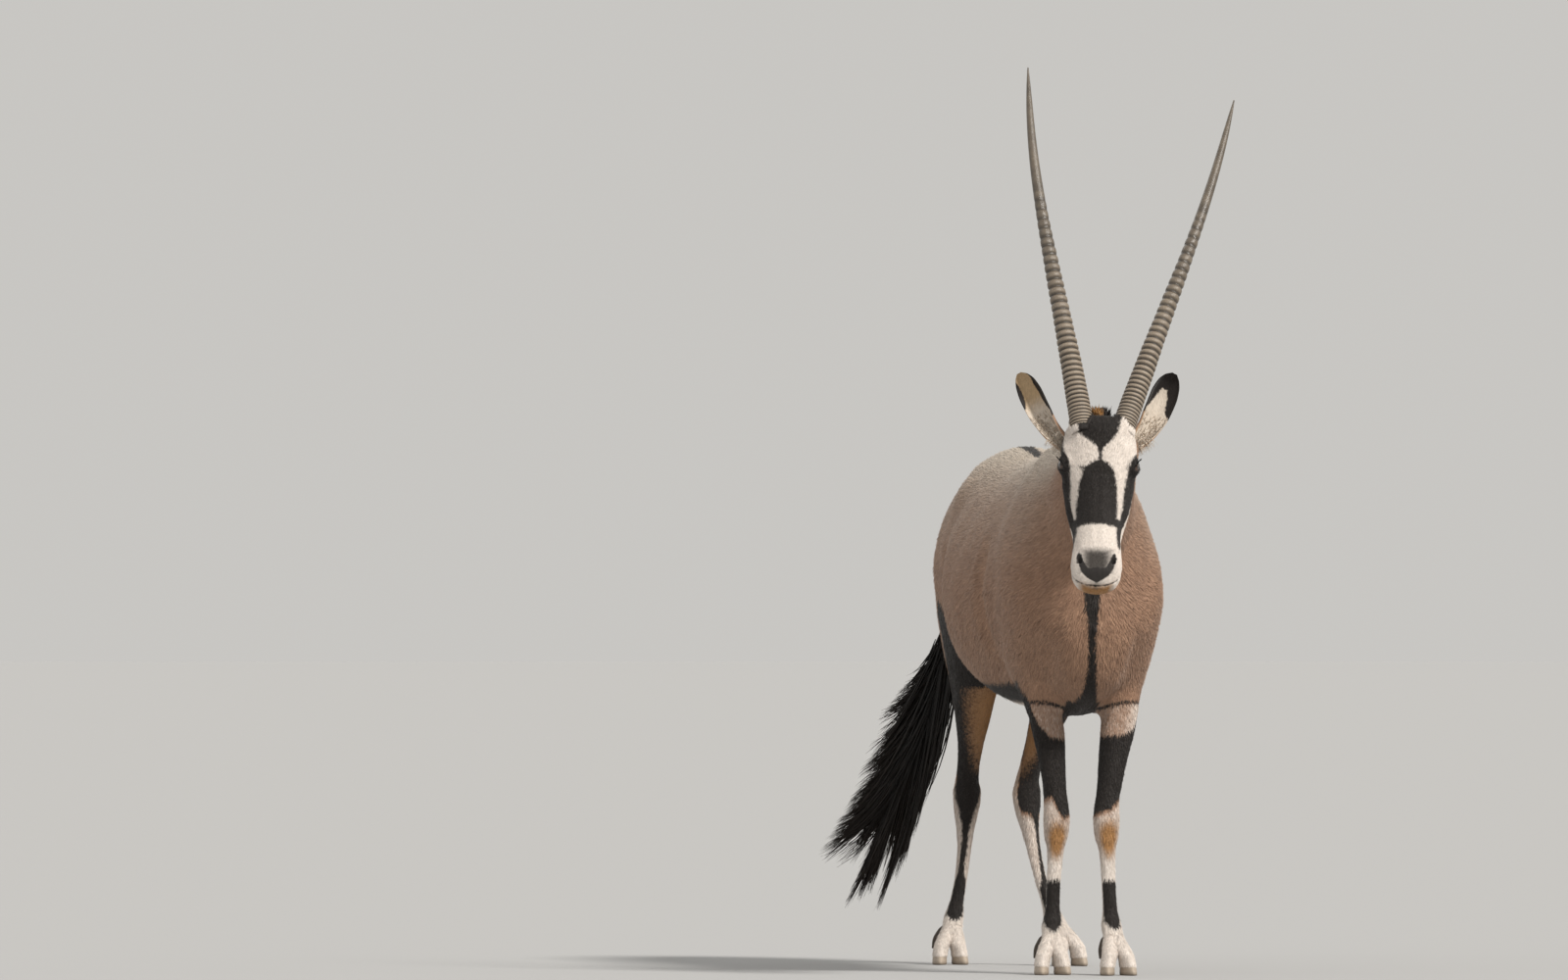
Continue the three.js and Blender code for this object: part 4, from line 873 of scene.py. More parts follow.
def leg_marks(name, p):
    """Marks of one leg: black down to above the knee or hock, white below it, and the black on the cannon's front."""
    z = p[:, 2]
    angle, _ = leg_chart(name, p)
    edges = LEG_EDGES[name]
    marks = CANNON_MARKS[name]
    middle = by([[a, b] for a, b, _ in marks], z)
    half = by([[a, c] for a, _, c in marks], z)
    across = np.abs(angle - middle) * math.pi / 180 * CANNON_RADIUS
    line = np.minimum(half - across, within(z, marks[0][0], marks[-1][0]))
    upper = z - by(edges["bottom"], angle)
    white = -upper - 4
    if name in KNEES:
        top = by(edges["top"], angle)
        # The pale patch over the forearm is partly painted light: it stays faint on the right foreleg and shows fully
        # only on the left foreleg's outer side, which faces the key light.
        rim = by(RIM, np.abs(p[:, 0]))
        patch = np.minimum(within(z, top, rim), -4.5 + 8 * smooth(0, 45, angle) * ("left" in name))
        white = either(np.minimum(white, 9) - 7.5 * smooth(225, 290, z), patch)
        chest = np.minimum(37 - np.abs(p[:, 0] + 6), z - 566)
        # A dark band just under the chest's edge on the forelegs, partly painted shade as at the brisket
        upper = either(np.minimum(upper, top - z), within(z, rim - 7, rim), chest)
        at, turn, tall, wide = KNEES[name]
        away = np.hypot((z - at) / tall, np.abs(angle - turn) * math.pi / 180 * KNEE_RADIUS / wide)
        rust = (1 - away) * 22
    else:
        # The hock's point and the inside of the thigh are rusty.
        hock = (1 - np.hypot((z - 415) / 46, (180 - np.abs(angle)) / 75)) * 24
        inner = (1 - np.hypot((z - 575) / 140, (angle + 52) / 84)) * 12
        white = np.minimum(white, 9) - 6 * smooth(150, 240, z)
        rust = either(hock, inner)
        upper = np.minimum(upper, 1 - inner)
    none = np.full(len(p), OUTSIDE)
    return {"dark": either(upper, line), "white": white, "rust": rust, "bare": none, "soot": none}


MARK_NAMES = ["dark", "white", "rust", "bare", "soot"]
LEG_TOPS = {"foreleg": (600, 680), "hindleg": (640, 760)}


THIGH_EDGE = [[280, 690], [340, 750], [395, 812], [440, 836], [480, 820], [520, 768], [560, 692], [600, 612],
              [640, 550], [700, 500]]


def thigh_dark(p):
    """Distance inside the black of the outer thigh, which runs from the flank's band down and back to the hock."""
    return by(THIGH_EDGE, p[:, 1]) - p[:, 2]


def marks_at(p):
    """All marks at points: the face's, the body's and the legs', passed smoothly from one to the next."""
    out = body_marks(p)
    side, y, z = one_sided(p).T
    for leg in LIMBS:
        low, high = LEG_TOPS[leg[:7]]
        angle, distance = leg_chart(leg, p)
        near = (z < high) & (distance < 60) & (p[:, 0] * OUTER[leg] > -30) & ((y < 100) == ("fore" in leg))
        near = np.flatnonzero(near)
        other = leg.replace("left", "right") if "left" in leg else leg.replace("right", "left")
        near = near[leg_chart(other, p[near])[1] > distance[near]]
        q = p[near]
        marks = leg_marks(leg, q)
        share = smooth(low, high, q[:, 2])
        if "hind" in leg:
            outside = thigh_dark(q) + 40 * smooth(-20, -80, angle[near])
            marks["dark"] = np.where(marks["dark"] < 0, marks["dark"], np.minimum(marks["dark"], outside))
        for name in MARK_NAMES:
            out[name][near] = marks[name] * (1 - share) + out[name][near] * share
    haunch = (z > 640) & (z < 900) & (y > 250) & (side > 95)
    black = np.maximum(out["dark"], np.minimum(thigh_dark(p), (y - 285) * 0.8))
    out["dark"] = np.where(haunch, black, out["dark"])
    # A point nearer the head than the neck takes the face's marks.
    in_head = smooth(-8, 14, NECK.distance(p) - HEAD.distance(p))
    face = head_marks(p)
    for name in MARK_NAMES:
        out[name] = np.where(in_head > 0, out[name] * (1 - in_head) + face[name] * in_head, out[name])
    return {name: np.clip(values, OUTSIDE, -OUTSIDE) for name, values in out.items()}


# From millimetres to the frame.


def offset():
    """Where the modelling frame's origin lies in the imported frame, in metres, read from the left eye's box."""
    low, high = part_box("eye_left")
    return (np.array(low) + np.array(high)) / 2 - head_point(EYE) * 0.001


SHIFT = offset()


def placed(points):
    """Modelling millimetres to metres in the frame."""
    return np.asarray(points, float) * 0.001 + SHIFT


def piece(name, points, faces, material, slot, replaced=(), smooth_faces=True, attributes=None, uv=None):
    """A closed mesh object from points in modelling millimetres. Attributes are one number a point, and the UV map is
    two numbers a point. It rides on the root and stands for the nodes it replaces."""
    faces = np.asarray(faces)
    mesh = bpy.data.meshes.new(name)
    sides = faces.shape[1]
    mesh.vertices.add(len(points))
    mesh.vertices.foreach_set("co", placed(points).astype(np.float32).ravel())
    mesh.loops.add(faces.size)
    mesh.loops.foreach_set("vertex_index", faces.astype(np.int32).ravel())
    mesh.polygons.add(len(faces))
    mesh.polygons.foreach_set("loop_start", np.arange(0, faces.size, sides, dtype=np.int32))
    if uv is not None:
        layer = mesh.uv_layers.new(name="OFBake")
        layer.data.foreach_set("uv", uv[faces.ravel()].astype(np.float32).ravel())
    for key, values in (attributes or {}).items():
        attribute = mesh.attributes.new(key, "FLOAT", "POINT")
        attribute.data.foreach_set("value", values.astype(np.float32))
    mesh.update()
    mesh.validate()
    mesh.polygons.foreach_set("use_smooth", np.full(len(mesh.polygons), smooth_faces))
    made = bpy.data.objects.new(name, mesh)
    bpy.context.scene.collection.objects.link(made)
    made.data.materials.append(material)
    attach(made, "root")
    if replaced:
        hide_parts(*replaced)


def ring_faces(rows, columns):
    """Quads between rings of points, row by row."""
    r = np.arange(rows - 1)[:, None]
    c = np.arange(columns)[None, :]
    following = (c + 1) % columns
    corners = [r * columns + c, r * columns + following, (r + 1) * columns + following, (r + 1) * columns + c]
    return np.stack(corners, axis=-1).reshape(-1, 4)


def merged(parts):
    """Several (points, faces) put together."""
    points, faces, start = [], [], 0
    for p, f in parts:
        points.append(p)
        faces.append(np.asarray(f) + start)
        start += len(p)
    return np.concatenate(points), np.concatenate(faces)


# Horns, ears, eyes, feet and hair.

# A horn's radius by the share of its length, and for each horn its foot, its tip and its bow.
HORN_SHAPE = curve([[0, 26.5], [0.15, 23.5], [0.3, 20], [0.45, 16.5], [0.6, 13], [0.75, 10.5], [0.88, 7.6],
                    [0.95, 4.6], [1, 1.4]])
HORN_SIDES = 56
HORNS = {
    "horn_left": ([17, -782, 1208], [342, -385, 1956], [12, -10, 0]),
    "horn_right": ([-70, -786, 1208], [-126, -385, 2027], [-20, -8, 0]),
}
HORN_RINGS, RINGED = 38, 0.66  # rings, and the share of the horn that carries them


def ring_at(k):
    """Share of the horn at which ring k stands: close at the foot, and drawing apart towards the tip."""
    k = np.asarray(k, float) / HORN_RINGS
    return 0.012 + (RINGED - 0.012) * (0.4 * k + 0.6 * k * k)


def ring_ridge(phase):
    """The form of one ring by its share of the way to the next: a rounded band and then a narrow groove."""
    return smooth(0, 0.3, phase) - smooth(0.64, 0.92, phase)


def horn_surface(start, end, bow, ring_height):
    """A horn: circles along a line bowed by sin(pi s^1.7), whose radius is a taper plus a ridge at each ring. The
    ridges fade out where the smooth part starts and are higher on the front than behind."""
    start, end = np.array(start, float), np.array(end, float)
    edges = ring_at(np.arange(HORN_RINGS + 1))
    low = np.concatenate([np.linspace(a, b, 9)[:-1] for a, b in zip(edges[:-1], edges[1:])])
    s = np.concatenate([np.linspace(0, edges[0], 9)[:-1], low, np.linspace(RINGED, 1, 60)])
    k = np.interp(s, edges, np.arange(HORN_RINGS + 1))
    phase = k % 1
    ridge = ring_ridge(phase) - 0.6
    fade = np.clip(1 - s / RINGED, 0, 1) ** 0.5 * (0.35 + 0.65 * smooth(0.02, 0.14, s))
    along = unit(end - start)
    side = unit(np.cross(along, [0, -1, 0]))
    front = np.cross(side, along)
    turn = np.arange(HORN_SIDES) * 2 * math.pi / HORN_SIDES
    middle = start + np.outer(s, end - start) + np.outer(np.sin(math.pi * s ** 1.7), bow)
    rng = np.random.default_rng(7)
    uneven = 0.75 + 0.5 * rng.random(HORN_RINGS + 2)[np.floor(k).astype(int)]
    wobble = 0.5 * np.sin(3 * turn[None, :] + 40 * s[:, None]) * fade[:, None]
    facing = 0.72 + 0.28 * np.sin(turn)[None, :]
    radius = HORN_SHAPE(s)[:, :1] + ring_height * (ridge * fade * uneven)[:, None] * facing + 0.4 * wobble
    ways = np.outer(np.cos(turn), side) + np.outer(np.sin(turn), front)
    return closed_rows(middle[:, None] + radius[..., None] * ways), s


def closed_rows(rings):
    """Rings of points as one closed surface with a point in the middle of each end."""
    rows, sides = rings.shape[:2]
    points = np.concatenate([rings.reshape(-1, 3), rings[0].mean(0)[None], rings[-1].mean(0)[None]])
    quads = ring_faces(rows, sides)
    j, last = np.arange(sides), (rows - 1) * sides
    low = np.column_stack([np.full(sides, rows * sides), (j + 1) % sides, j])
    high = np.column_stack([np.full(sides, rows * sides + 1), last + j, last + (j + 1) % sides])
    triangles = np.concatenate([halved(quads), low, high])
    return points, outward_closed(points, triangles)


def outward_closed(points, triangles):
    """A closed surface's triangles, turned over if it holds less than no space."""
    a, b, c = points[triangles.T]
    return triangles if np.einsum("ij,ij->i", a, np.cross(b, c)).sum() > 0 else triangles[:, ::-1]


# By the share of an ear's length: half width, half arc in degrees and thickness. For each ear: root, tip, the way its
# opening faces and how wide it is made.
EAR_ROWS = curve([[0, 20, 118, 19], [0.12, 22, 112, 10], [0.3, 25, 96, 5], [0.5, 30, 82, 4], [0.7, 31, 72, 3.4],
                  [0.85, 27, 64, 3], [0.95, 18, 56, 2.4], [1, 6, 50, 1.6]])
EARS = {
    "ear_left": ([82, -748, 1172], [152, -704, 1341], [0.28, -1, 0], 1.12),
    "ear_right": ([-136, -744, 1173], [-201, -700, 1341], [-0.62, -0.8, 0], 1.0),
}


# Black on the ears: the share of the length where the tip's begins, and how wide the margins' bands are, by share.
EAR_BLACK = {
    "ear_left": {"tip": 0.82, "minus": [[0.4, -8], [0.5, 8], [0.6, 18], [0.7, 22], [0.82, 26]],
                 "plus": [[0.42, -8], [0.52, 8], [0.6, 14], [0.7, 16], [0.82, 22]]},
    "ear_right": {"tip": 1.3, "minus": [[0.54, -8], [0.62, 5], [0.72, 9], [0.82, 9], [0.9, 4], [0.96, -6]],
                  "plus": [[0.34, -8], [0.44, 8], [0.6, 18], [0.8, 19], [0.9, 11], [0.96, 2], [1, -6]]},
}


EAR_HALF, EAR_LENGTH = 30, 186  # half the width of an ear laid flat, and its length, for the bands


def ear_frame(name):
    """The ear's base and tip, and the ways across it and out of its opening."""
    base, tip, faces, width = EARS[name]
    base, tip = np.array(base, float), np.array(tip, float)
    along = unit(tip - base)
    side = unit(np.cross(along, faces))
    return base, tip, along, side, np.cross(side, along), width


def ear_at(name, s, turn, depth):
    """Points on an ear rolled from a leaf: s is the share of its length, turn the share of its arc from one edge, -1,
    to the other, 1, and depth the share of its thickness in from the outer wall. The radius is the half width over
    the sine of the arc, and the root bends in towards the head."""
    base, tip, along, side, out, width = ear_frame(name)
    half, degrees, thick = EAR_ROWS(s).T
    arc = np.radians(degrees)
    radius = half * width / np.sin(np.minimum(arc, math.pi / 2))
    middle = base + np.outer(s, tip - base) + np.outer(radius * np.cos(arc) * 0.4 - 10 * np.sin(math.pi * s), out)
    middle -= np.outer(np.sign(HEAD_SIDE @ along) * 42 * (1 - s) ** 4, HEAD_SIDE)
    angle = turn * arc * (1 - 0.02 * depth)
    wall = np.maximum(radius - (thick - 1.2) * depth - 0.6, 1.2)
    # Low folds run up the inside of the cup.
    wall += 0.9 * depth * np.sin(9 * turn) * np.sin(math.pi * np.clip(s, 0, 1)) ** 0.5
    return middle + (wall * np.sin(angle))[:, None] * side - (wall * np.cos(angle))[:, None] * out


def ear_surface(name, rows=90, columns=34):
    """An ear as one closed shell: outer wall, rounded edge, inner wall, in rings from root to tip."""
    s = np.linspace(0, 1, rows) ** 0.92
    outer = np.linspace(-1, 1, columns)
    turn = np.concatenate([outer, outer[::-1]])
    depth = np.concatenate([np.zeros(columns), np.ones(columns)])
    rim = np.concatenate([[0.35], np.zeros(columns - 2), [0.35], [-0.35], np.zeros(columns - 2), [-0.35]])
    grid_s = np.repeat(s, len(turn))
    points = ear_at(name, grid_s, np.tile(turn, rows), np.tile(depth + rim, rows))
    made, faces = closed_rows(points.reshape(rows, len(turn), 3))
    chart = np.column_stack([grid_s, np.tile(turn, rows)])
    inner = np.concatenate([np.tile(depth, rows), [0, 0]])
    return made, faces, np.concatenate([chart, [[0.0, 0.0], [1.0, 0.0]]]), inner


def ear_locks(name):
    """Long pale hairs that stand in the ear's cup and hang in a tuft from the front of its root."""
    rng, n = np.random.default_rng(51), 300
    _, _, along, side, out, _ = ear_frame(name)
    outer = 1 if "left" in name else -1
    s = 0.04 + 0.42 * rng.random(n) ** 1.6
    turn = np.clip(rng.normal(0.45 * outer, 0.5, n), -0.95, 0.95)
    root = ear_at(name, s, turn, np.full(n, 0.9))
    size = (20 - 16 * s) * rng.uniform(0.6, 1.2, n)
    way = unit(along * 0.75 + out * 0.55 - np.outer(turn, side) * 0.35 + rng.normal(0, 0.22, (n, 3)))
    tuft = (s < 0.2) & (rng.random(n) < 0.6)
    hang = unit(np.array([0.5 * outer, -0.5, -0.75]) + rng.normal(0, 0.25, (n, 3)))
    tip = root + np.where(tuft[:, None], hang * 24, way * size[:, None])
    bend = root + np.where(tuft[:, None], out * 14, way * size[:, None] * 0.5 + out * 2)
    widths, thicks = rng.uniform(1.2, 2.2, n), rng.uniform(0.5, 0.8, n)
    return root, bend, tip, widths, thicks, unit(out + rng.normal(0, 0.3, (n, 3)))


def horn_collar():
    """Hair round the foot of each horn that runs up it, rooted where the horn leaves the skin."""
    rng = np.random.default_rng(47)
    parts = []
    for start, end, _ in HORNS.values():
        start, end = np.array(start, float), np.array(end, float)
        along = unit(end - start)
        side = unit(np.cross(along, [0, -1, 0]))
        turn = rng.uniform(0, 2 * math.pi, 900)
        way = np.outer(np.cos(turn), side) + np.outer(np.sin(turn), np.cross(side, along))
        s = np.linspace(0, 0.14, 29)
        places = (start + np.outer(s, end - start))[:, None] + HORN_SHAPE(s)[:, :1][..., None] * way
        inside = skin_distance(places.reshape(-1, 3)).reshape(len(s), -1) < 0
        rise = s[(inside * np.arange(len(s))[:, None]).max(0)]
        foot = start + np.outer(rise, end - start)
        radius = HORN_SHAPE(rise)[:, :1]
        root = foot + way * (radius + 1) - along * 5
        size = rng.uniform(6, 15, len(turn))[:, None]
        bend = foot + way * (radius + 4) + along * 0.5 * size
        parts.append((root, bend, foot + way * (radius + 1.6) + along * size, way))
    root, bend, tip, way = (np.concatenate(group) for group in zip(*parts))
    return root, bend, tip, 2.4, 0.8, way


def lid_point(m, a, h, reach):
    """A place round an eye: a along the slit and h over it, at a distance from the eyeball's middle."""
    middle, look, corner, upper = eye_frame(m)
    ahead = np.sqrt(np.maximum(reach ** 2 - a ** 2 - h ** 2, 1))
    return middle + np.outer(a, corner) + np.outer(h, upper) + np.outer(ahead, look)


def lid_rim(m, count=96, sides=10):
    """The moist edge of the lids: a thin closed ring round the gap."""
    turn = np.arange(count) * 2 * math.pi / count
    a = 17.0 * np.cos(turn)
    line = head_point(lid_point(m, a, lid_edge(0.97 * a, turn < math.pi), EYE_RADIUS + 0.9))
    out = unit(line - head_point(eye_frame(m)[0]))
    along = unit(np.roll(line, -1, axis=0) - np.roll(line, 1, axis=0))
    wide = np.cross(along, out)
    ring = np.arange(sides) * 2 * math.pi / sides
    points = line[:, None] + 1.25 * np.cos(ring)[None, :, None] * wide[:, None] \
        + 1.6 * np.sin(ring)[None, :, None] * out[:, None]
    triangles = halved(ring_faces(count + 1, sides) % (count * sides))
    return points.reshape(-1, 3), outward_closed(points.reshape(-1, 3), triangles)


def lashes(m):
    """Lashes of the upper lid, longest towards its back, that stand out and curve up."""
    rng = np.random.default_rng(61)
    a = rng.uniform(-15, 12, 130)
    _, look, corner, upper = eye_frame(m)
    root = head_point(lid_point(m, a, lid_edge(a, True) + 0.6, EYE_RADIUS + 1.6))
    size = (rng.uniform(0.7, 1.1, len(a)) * np.interp(a, [-15, -6, 12], [9, 13, 6]))[:, None]
    ahead, rise = look @ HEAD_AXES, upper @ HEAD_AXES
    spread = np.outer(a * 0.02, corner @ HEAD_AXES) + rng.normal(0, 0.07, (len(a), 3))
    tip = root + (ahead * 0.85 + rise * 0.55 + spread) * size
    return root, root + (ahead + spread) * 0.6 * size, tip, 0.9, 0.6, rise + 0 * root


STRAP_FLAT = unit([0, 1, 0.2])  # the way in which the dock and the dewclaws are flattened


def strap_surface(points, widths, thicks, flat_way, rows=24, sides=20):
    """A tapering tube along a smooth curve: ovals whose width lies across the flat way."""
    shares = np.linspace(0, 1, rows)
    path = along_line(points, shares)
    sizes = curve(np.column_stack([corner_shares(points), widths, thicks]))(shares)
    along = unit(np.gradient(path, axis=0))
    wide = unit(np.cross(along, flat_way))
    flat = np.cross(wide, along)
    turn = np.arange(sides) * 2 * math.pi / sides
    rings = path[:, None] + (sizes[:, 0] / 2)[:, None, None] * np.cos(turn)[None, :, None] * wide[:, None] \
        + (sizes[:, 1] / 2)[:, None, None] * np.sin(turn)[None, :, None] * flat[:, None]
    return closed_rows(rings)


def hoof_surface(limb, m):
    """The horn of one toe, laid down in low rings, drawn in where the furred skin covers it."""
    z = np.concatenate([[0, 0.5, 1.2, 2.4], np.linspace(4, 44.5, 40)])
    ripple = 0.35 * np.sin(z * 1.9) * smooth(3, 8, z)
    return closed_rows(toe_rings(limb, m, z, -2.4 * smooth(20, 28, z), 48, ripple))


LOCK_SIDES = 3


def locks(roots, bends, tips, width, thick, flat_ways, rings):
    """Many locks of hair at once, each a closed tube of a few sides along a quadratic curve from root over bend to
    tip, flattened across its flat way, full at a share of its length and drawn out to the tip. Gives points,
    triangles, the share along the lock at each point and the number of points of a lock."""
    n, sides, full, blunt = len(roots), LOCK_SIDES, 0.35, 0.07
    t = np.linspace(0, 1, rings)[None, :, None]
    path = (1 - t) ** 2 * roots[:, None] + 2 * t * (1 - t) * bends[:, None] + t * t * tips[:, None]
    along = unit(2 * (1 - t) * (bends - roots)[:, None] + 2 * t * (tips - bends)[:, None])
    wide = unit(np.cross(along, flat_ways[:, None]))
    flat = np.cross(wide, along)
    share = t[0, :, 0]
    narrowing = 1 - (1 - blunt) * (np.clip(share - full, 0, 1) / (1 - full)) ** 1.3
    fullness = np.where(share < full, 0.7 + 0.3 * share / full, narrowing)
    turn = np.arange(sides) * 2 * math.pi / sides + math.pi / 2
    w = (np.broadcast_to(width, n)[:, None] * fullness / 2)[:, :, None, None]
    h = (np.broadcast_to(thick, n)[:, None] * fullness / 2)[:, :, None, None]
    points = path[:, :, None] + w * np.cos(turn)[None, None, :, None] * wide[:, :, None] \
        + h * np.sin(turn)[None, None, :, None] * flat[:, :, None]
    fans = np.arange(1, sides - 1)
    low = np.column_stack([np.zeros_like(fans), fans + 1, fans])
    high = np.column_stack([np.zeros_like(fans), fans, fans + 1]) + (rings - 1) * sides
    one = np.concatenate([halved(ring_faces(rings, sides)), low, high])
    one = outward_closed(points[0].reshape(-1, 3), one)
    faces = (one[None] + (np.arange(n) * rings * sides)[:, None, None]).reshape(-1, 3)
    along_share = np.broadcast_to(share[None, :, None], (n, rings, sides)).ravel()
    return points.reshape(-1, 3), faces, along_share, rings * sides


# The dock's line with its widths and thicknesses, the line that the tuft is rooted on, and the fringe that its hair
# ends in: [share, x, height, how far down the tuft it is rooted].
DOCK = ([[0, 622, 1072], [-3, 686, 1062], [-16, 736, 1020], [-48, 772, 940], [-76, 786, 870], [-98, 797, 806],
         [-106, 798.5, 775]],
        [58, 48, 38, 32, 30, 30, 24], [52, 42, 34, 30, 28, 26, 20])
TUFT_LINE = [[-98, 797, 806], [-119, 800, 730], [-137, 802, 662], [-155, 806, 600], [-174, 808, 540], [-190, 810, 490]]
FRINGE = curve([[0, -262, 566, 0.2], [0.09, -294, 522, 0.25], [0.2, -337, 393, 0.42], [0.31, -365, 320, 0.5],
                [0.46, -424, 209, 0.66], [0.6, -344, 138, 0.72], [0.74, -284, 122, 0.7], [0.86, -236, 168, 0.52],
                [0.94, -198, 236, 0.34], [1, -168, 340, 0.16]])
TAIL_BACK = unit([0, 1, 0.15])


def dock_hair(count):
    """Short hair that lies down along the tail's root, rooted evenly round its ovals."""
    rng = np.random.default_rng(45)
    line, widths, thicks = DOCK
    share = rng.uniform(0.03, 0.97, count)
    along = unit(along_line(line, share + 0.02) - along_line(line, share - 0.02))
    wide = unit(np.cross(along, STRAP_FLAT))
    flat = np.cross(wide, along)
    half = curve(np.column_stack([corner_shares(line), widths, thicks]))(share) / 2
    turn = rng.uniform(0, 2 * math.pi, count)
    way = np.cos(turn)[:, None] * wide + np.sin(turn)[:, None] * flat
    root = along_line(line, share) + (half[:, 0] * np.cos(turn))[:, None] * wide \
        + (half[:, 1] * np.sin(turn))[:, None] * flat
    size = rng.uniform(13, 26, count)[:, None]
    swing = np.cross(along, way) * rng.normal(0, 0.15, (count, 1))
    bend, tip = root + (along + swing) * 0.5 * size + 2.4 * way, root + (along + swing) * size + 1.2 * way
    return root - way, bend, tip, 2.6, 0.9, way


def tail_locks(count, width, thick):
    """The tail's long hair: locks that follow the dock down and then swing out to the fringe that the wind gives
    them, rooted in bunches so that the fringe ends in strands."""
    rng = np.random.default_rng(41)
    bunches = 24
    weight = np.interp(np.arange(bunches) / bunches, [0, 0.3, 0.45, 0.8, 1], [0.25, 0.4, 1, 1, 0.4])
    weight = weight * rng.uniform(0.25, 1.5, bunches)
    bunch = rng.choice(bunches, count, p=weight / weight.sum())
    share = (bunch + 0.5) / bunches + rng.normal(0, 0.006, count)
    sway = rng.normal(0, 1, (bunches, 3)) * [17, 6, 17]
    reaches = rng.uniform(0.84, 1.03, bunches)
    share = np.clip(share, 0, 1)
    layer = rng.uniform(-1, 1, count)
    x, z, up = FRINGE(share).T
    rooted = np.clip(up * rng.uniform(0.1, 1.05, count) + 0.06 * np.sin(5.1 * bunch), 0.0, 0.9)
    root = along_line(TUFT_LINE, rooted)
    down = unit(along_line(TUFT_LINE, rooted + 0.02) - root)
    spread = rng.normal(0, 1, (count, 3)) * [7, 5, 3]
    root = root + spread + np.outer(layer, [3, 7, 0])
    short = rng.beta(1.1, 2.6, count) * 0.7
    tip = np.column_stack([x, 822 + 9 * layer, z]) * (1 - short)[:, None] + root * short[:, None]
    tip = root + (tip - root) * reaches[bunch][:, None] + rng.normal(0, 1, (count, 3)) * 3
    reach = np.linalg.norm(tip - root, axis=1)
    bend = root + down * (0.68 * reach)[:, None] + rng.normal(0, 1, (count, 3)) * [5, 4, 5] + sway[bunch]
    bend[:, 0] += 85 * np.maximum(share - 0.6, 0)
    bend[:, 1] += 14 * layer
    flat = unit(TAIL_BACK + rng.normal(0, 0.45, (count, 3)))
    sizes = rng.uniform(0.5, 1.15, count)
    return root, bend, tip, width * sizes, thick * sizes, flat


def crest():
    """The crest of the withers and neck: points on the skin's top line, found by halving, towards the head."""
    y = np.linspace(-280, -742, 47)
    at = [-760, -690, -330, -300]
    middle = np.column_stack([np.interp(y, at, [-22, -9, 0, 0]), y, np.interp(y, at, [1172, 1150, 965, 960])])
    reach = np.full(len(y), 260.0)
    low = np.zeros(len(y))
    for _ in range(16):
        half = (low + reach) / 2
        inside = skin_distance(middle + np.outer(half, [0, 0, 1])) < 0
        low, reach = np.where(inside, half, low), np.where(inside, reach, half)
    return middle + np.outer(low, [0, 0, 1])


def mane_locks(count, height, width):
    """The mane: locks that stand on the crest of the neck, lean back and spread sideways, shorter at both ends."""
    rng = np.random.default_rng(43)
    line = crest()
    share = np.sort(rng.random(count))
    foot = along_line(line, share)
    forward = unit(along_line(line, np.minimum(share + 0.01, 1)) - along_line(line, np.maximum(share - 0.01, 0)))
    tall = height * np.minimum(np.minimum(0.12 + 2.2 * share, 1), 0.1 + 4.5 * (1 - share))
    tall = tall * rng.uniform(0.7, 1.1, count)
    lean = rng.normal(0, 1, count)
    across = np.clip(lean * 6, -12, 12)
    root = foot + np.outer(across, [1, 0, 0]) - np.column_stack([0 * share, 0 * share, 8 + 0.04 * across ** 2])
    bend = foot + np.outer(across * 1.2, [1, 0, 0]) + np.outer(0.55 * tall, [0, 0, 1])
    tip = foot - forward * (0.5 * tall)[:, None] + np.outer(across * 1.6 + rng.normal(0, 3, count), [1, 0, 0])
    tip = tip + np.outer(0.94 * tall, [0, 0, 1])
    flat = unit(np.array([1, 0, 0]) + rng.normal(0, 0.5, (count, 3)))
    return root, bend, tip, width * rng.uniform(0.6, 1.2, count), 0.45 * width * rng.uniform(0.7, 1.2, count), flat


# The short coat.

# Spacing, length, width and thickness of a tuft in millimetres, by place.
TUFTS = {"trunk": (4.5, 19, 3.9, 0.9), "neck": (4.2, 17, 3.4, 0.9), "leg": (3.3, 11, 2.5, 0.7),
         "foot": (3.0, 9, 2.3, 0.7), "face": (2.35, 6.5, 1.7, 0.5)}
LIFT = math.radians(8)  # the angle that a tuft stands up from the skin


def hair_way(p):
    """The way the hair lies: back from the nose over the face, down the neck, back and down over the trunk, more
    steeply on the buttocks and the flanks' lower edge, and down the legs."""
    x, y, z = p.T
    fall = -0.28 - 0.5 * smooth(1020, 760, z) - 1.4 * smooth(420, 640, y)
    trunk = unit(np.column_stack([0.0006 * x, np.full(len(p), 1.0), fall]))
    neck = unit(NECK_FROM - NECK_TO) + [0, 0, -0.1]
    down = np.column_stack([0 * x, 0.12 + 0 * x, -1 + 0 * x])
    hind = y > 200
    share = np.where(hind, smooth(820, 650, z), smooth(700, 580, z))[:, None]
    way = trunk * (1 - share) + down * share
    on_neck = smooth(-380, -520, y)[:, None] * smooth(640, 800, z)[:, None]
    way = way * (1 - on_neck) + neck * on_neck
    place = head_place(p)
    back = -0.35 - 0.5 * smooth(-40, -110, place[:, 2])
    face = np.column_stack([0.0035 * place[:, 0], np.full(len(p), -1.0), back]) @ HEAD_AXES
    on_face = smooth(-6, 14, NECK.distance(p) - HEAD.distance(p))[:, None] * (y < -600)[:, None]
    return unit(way * (1 - on_face) + face * on_face)


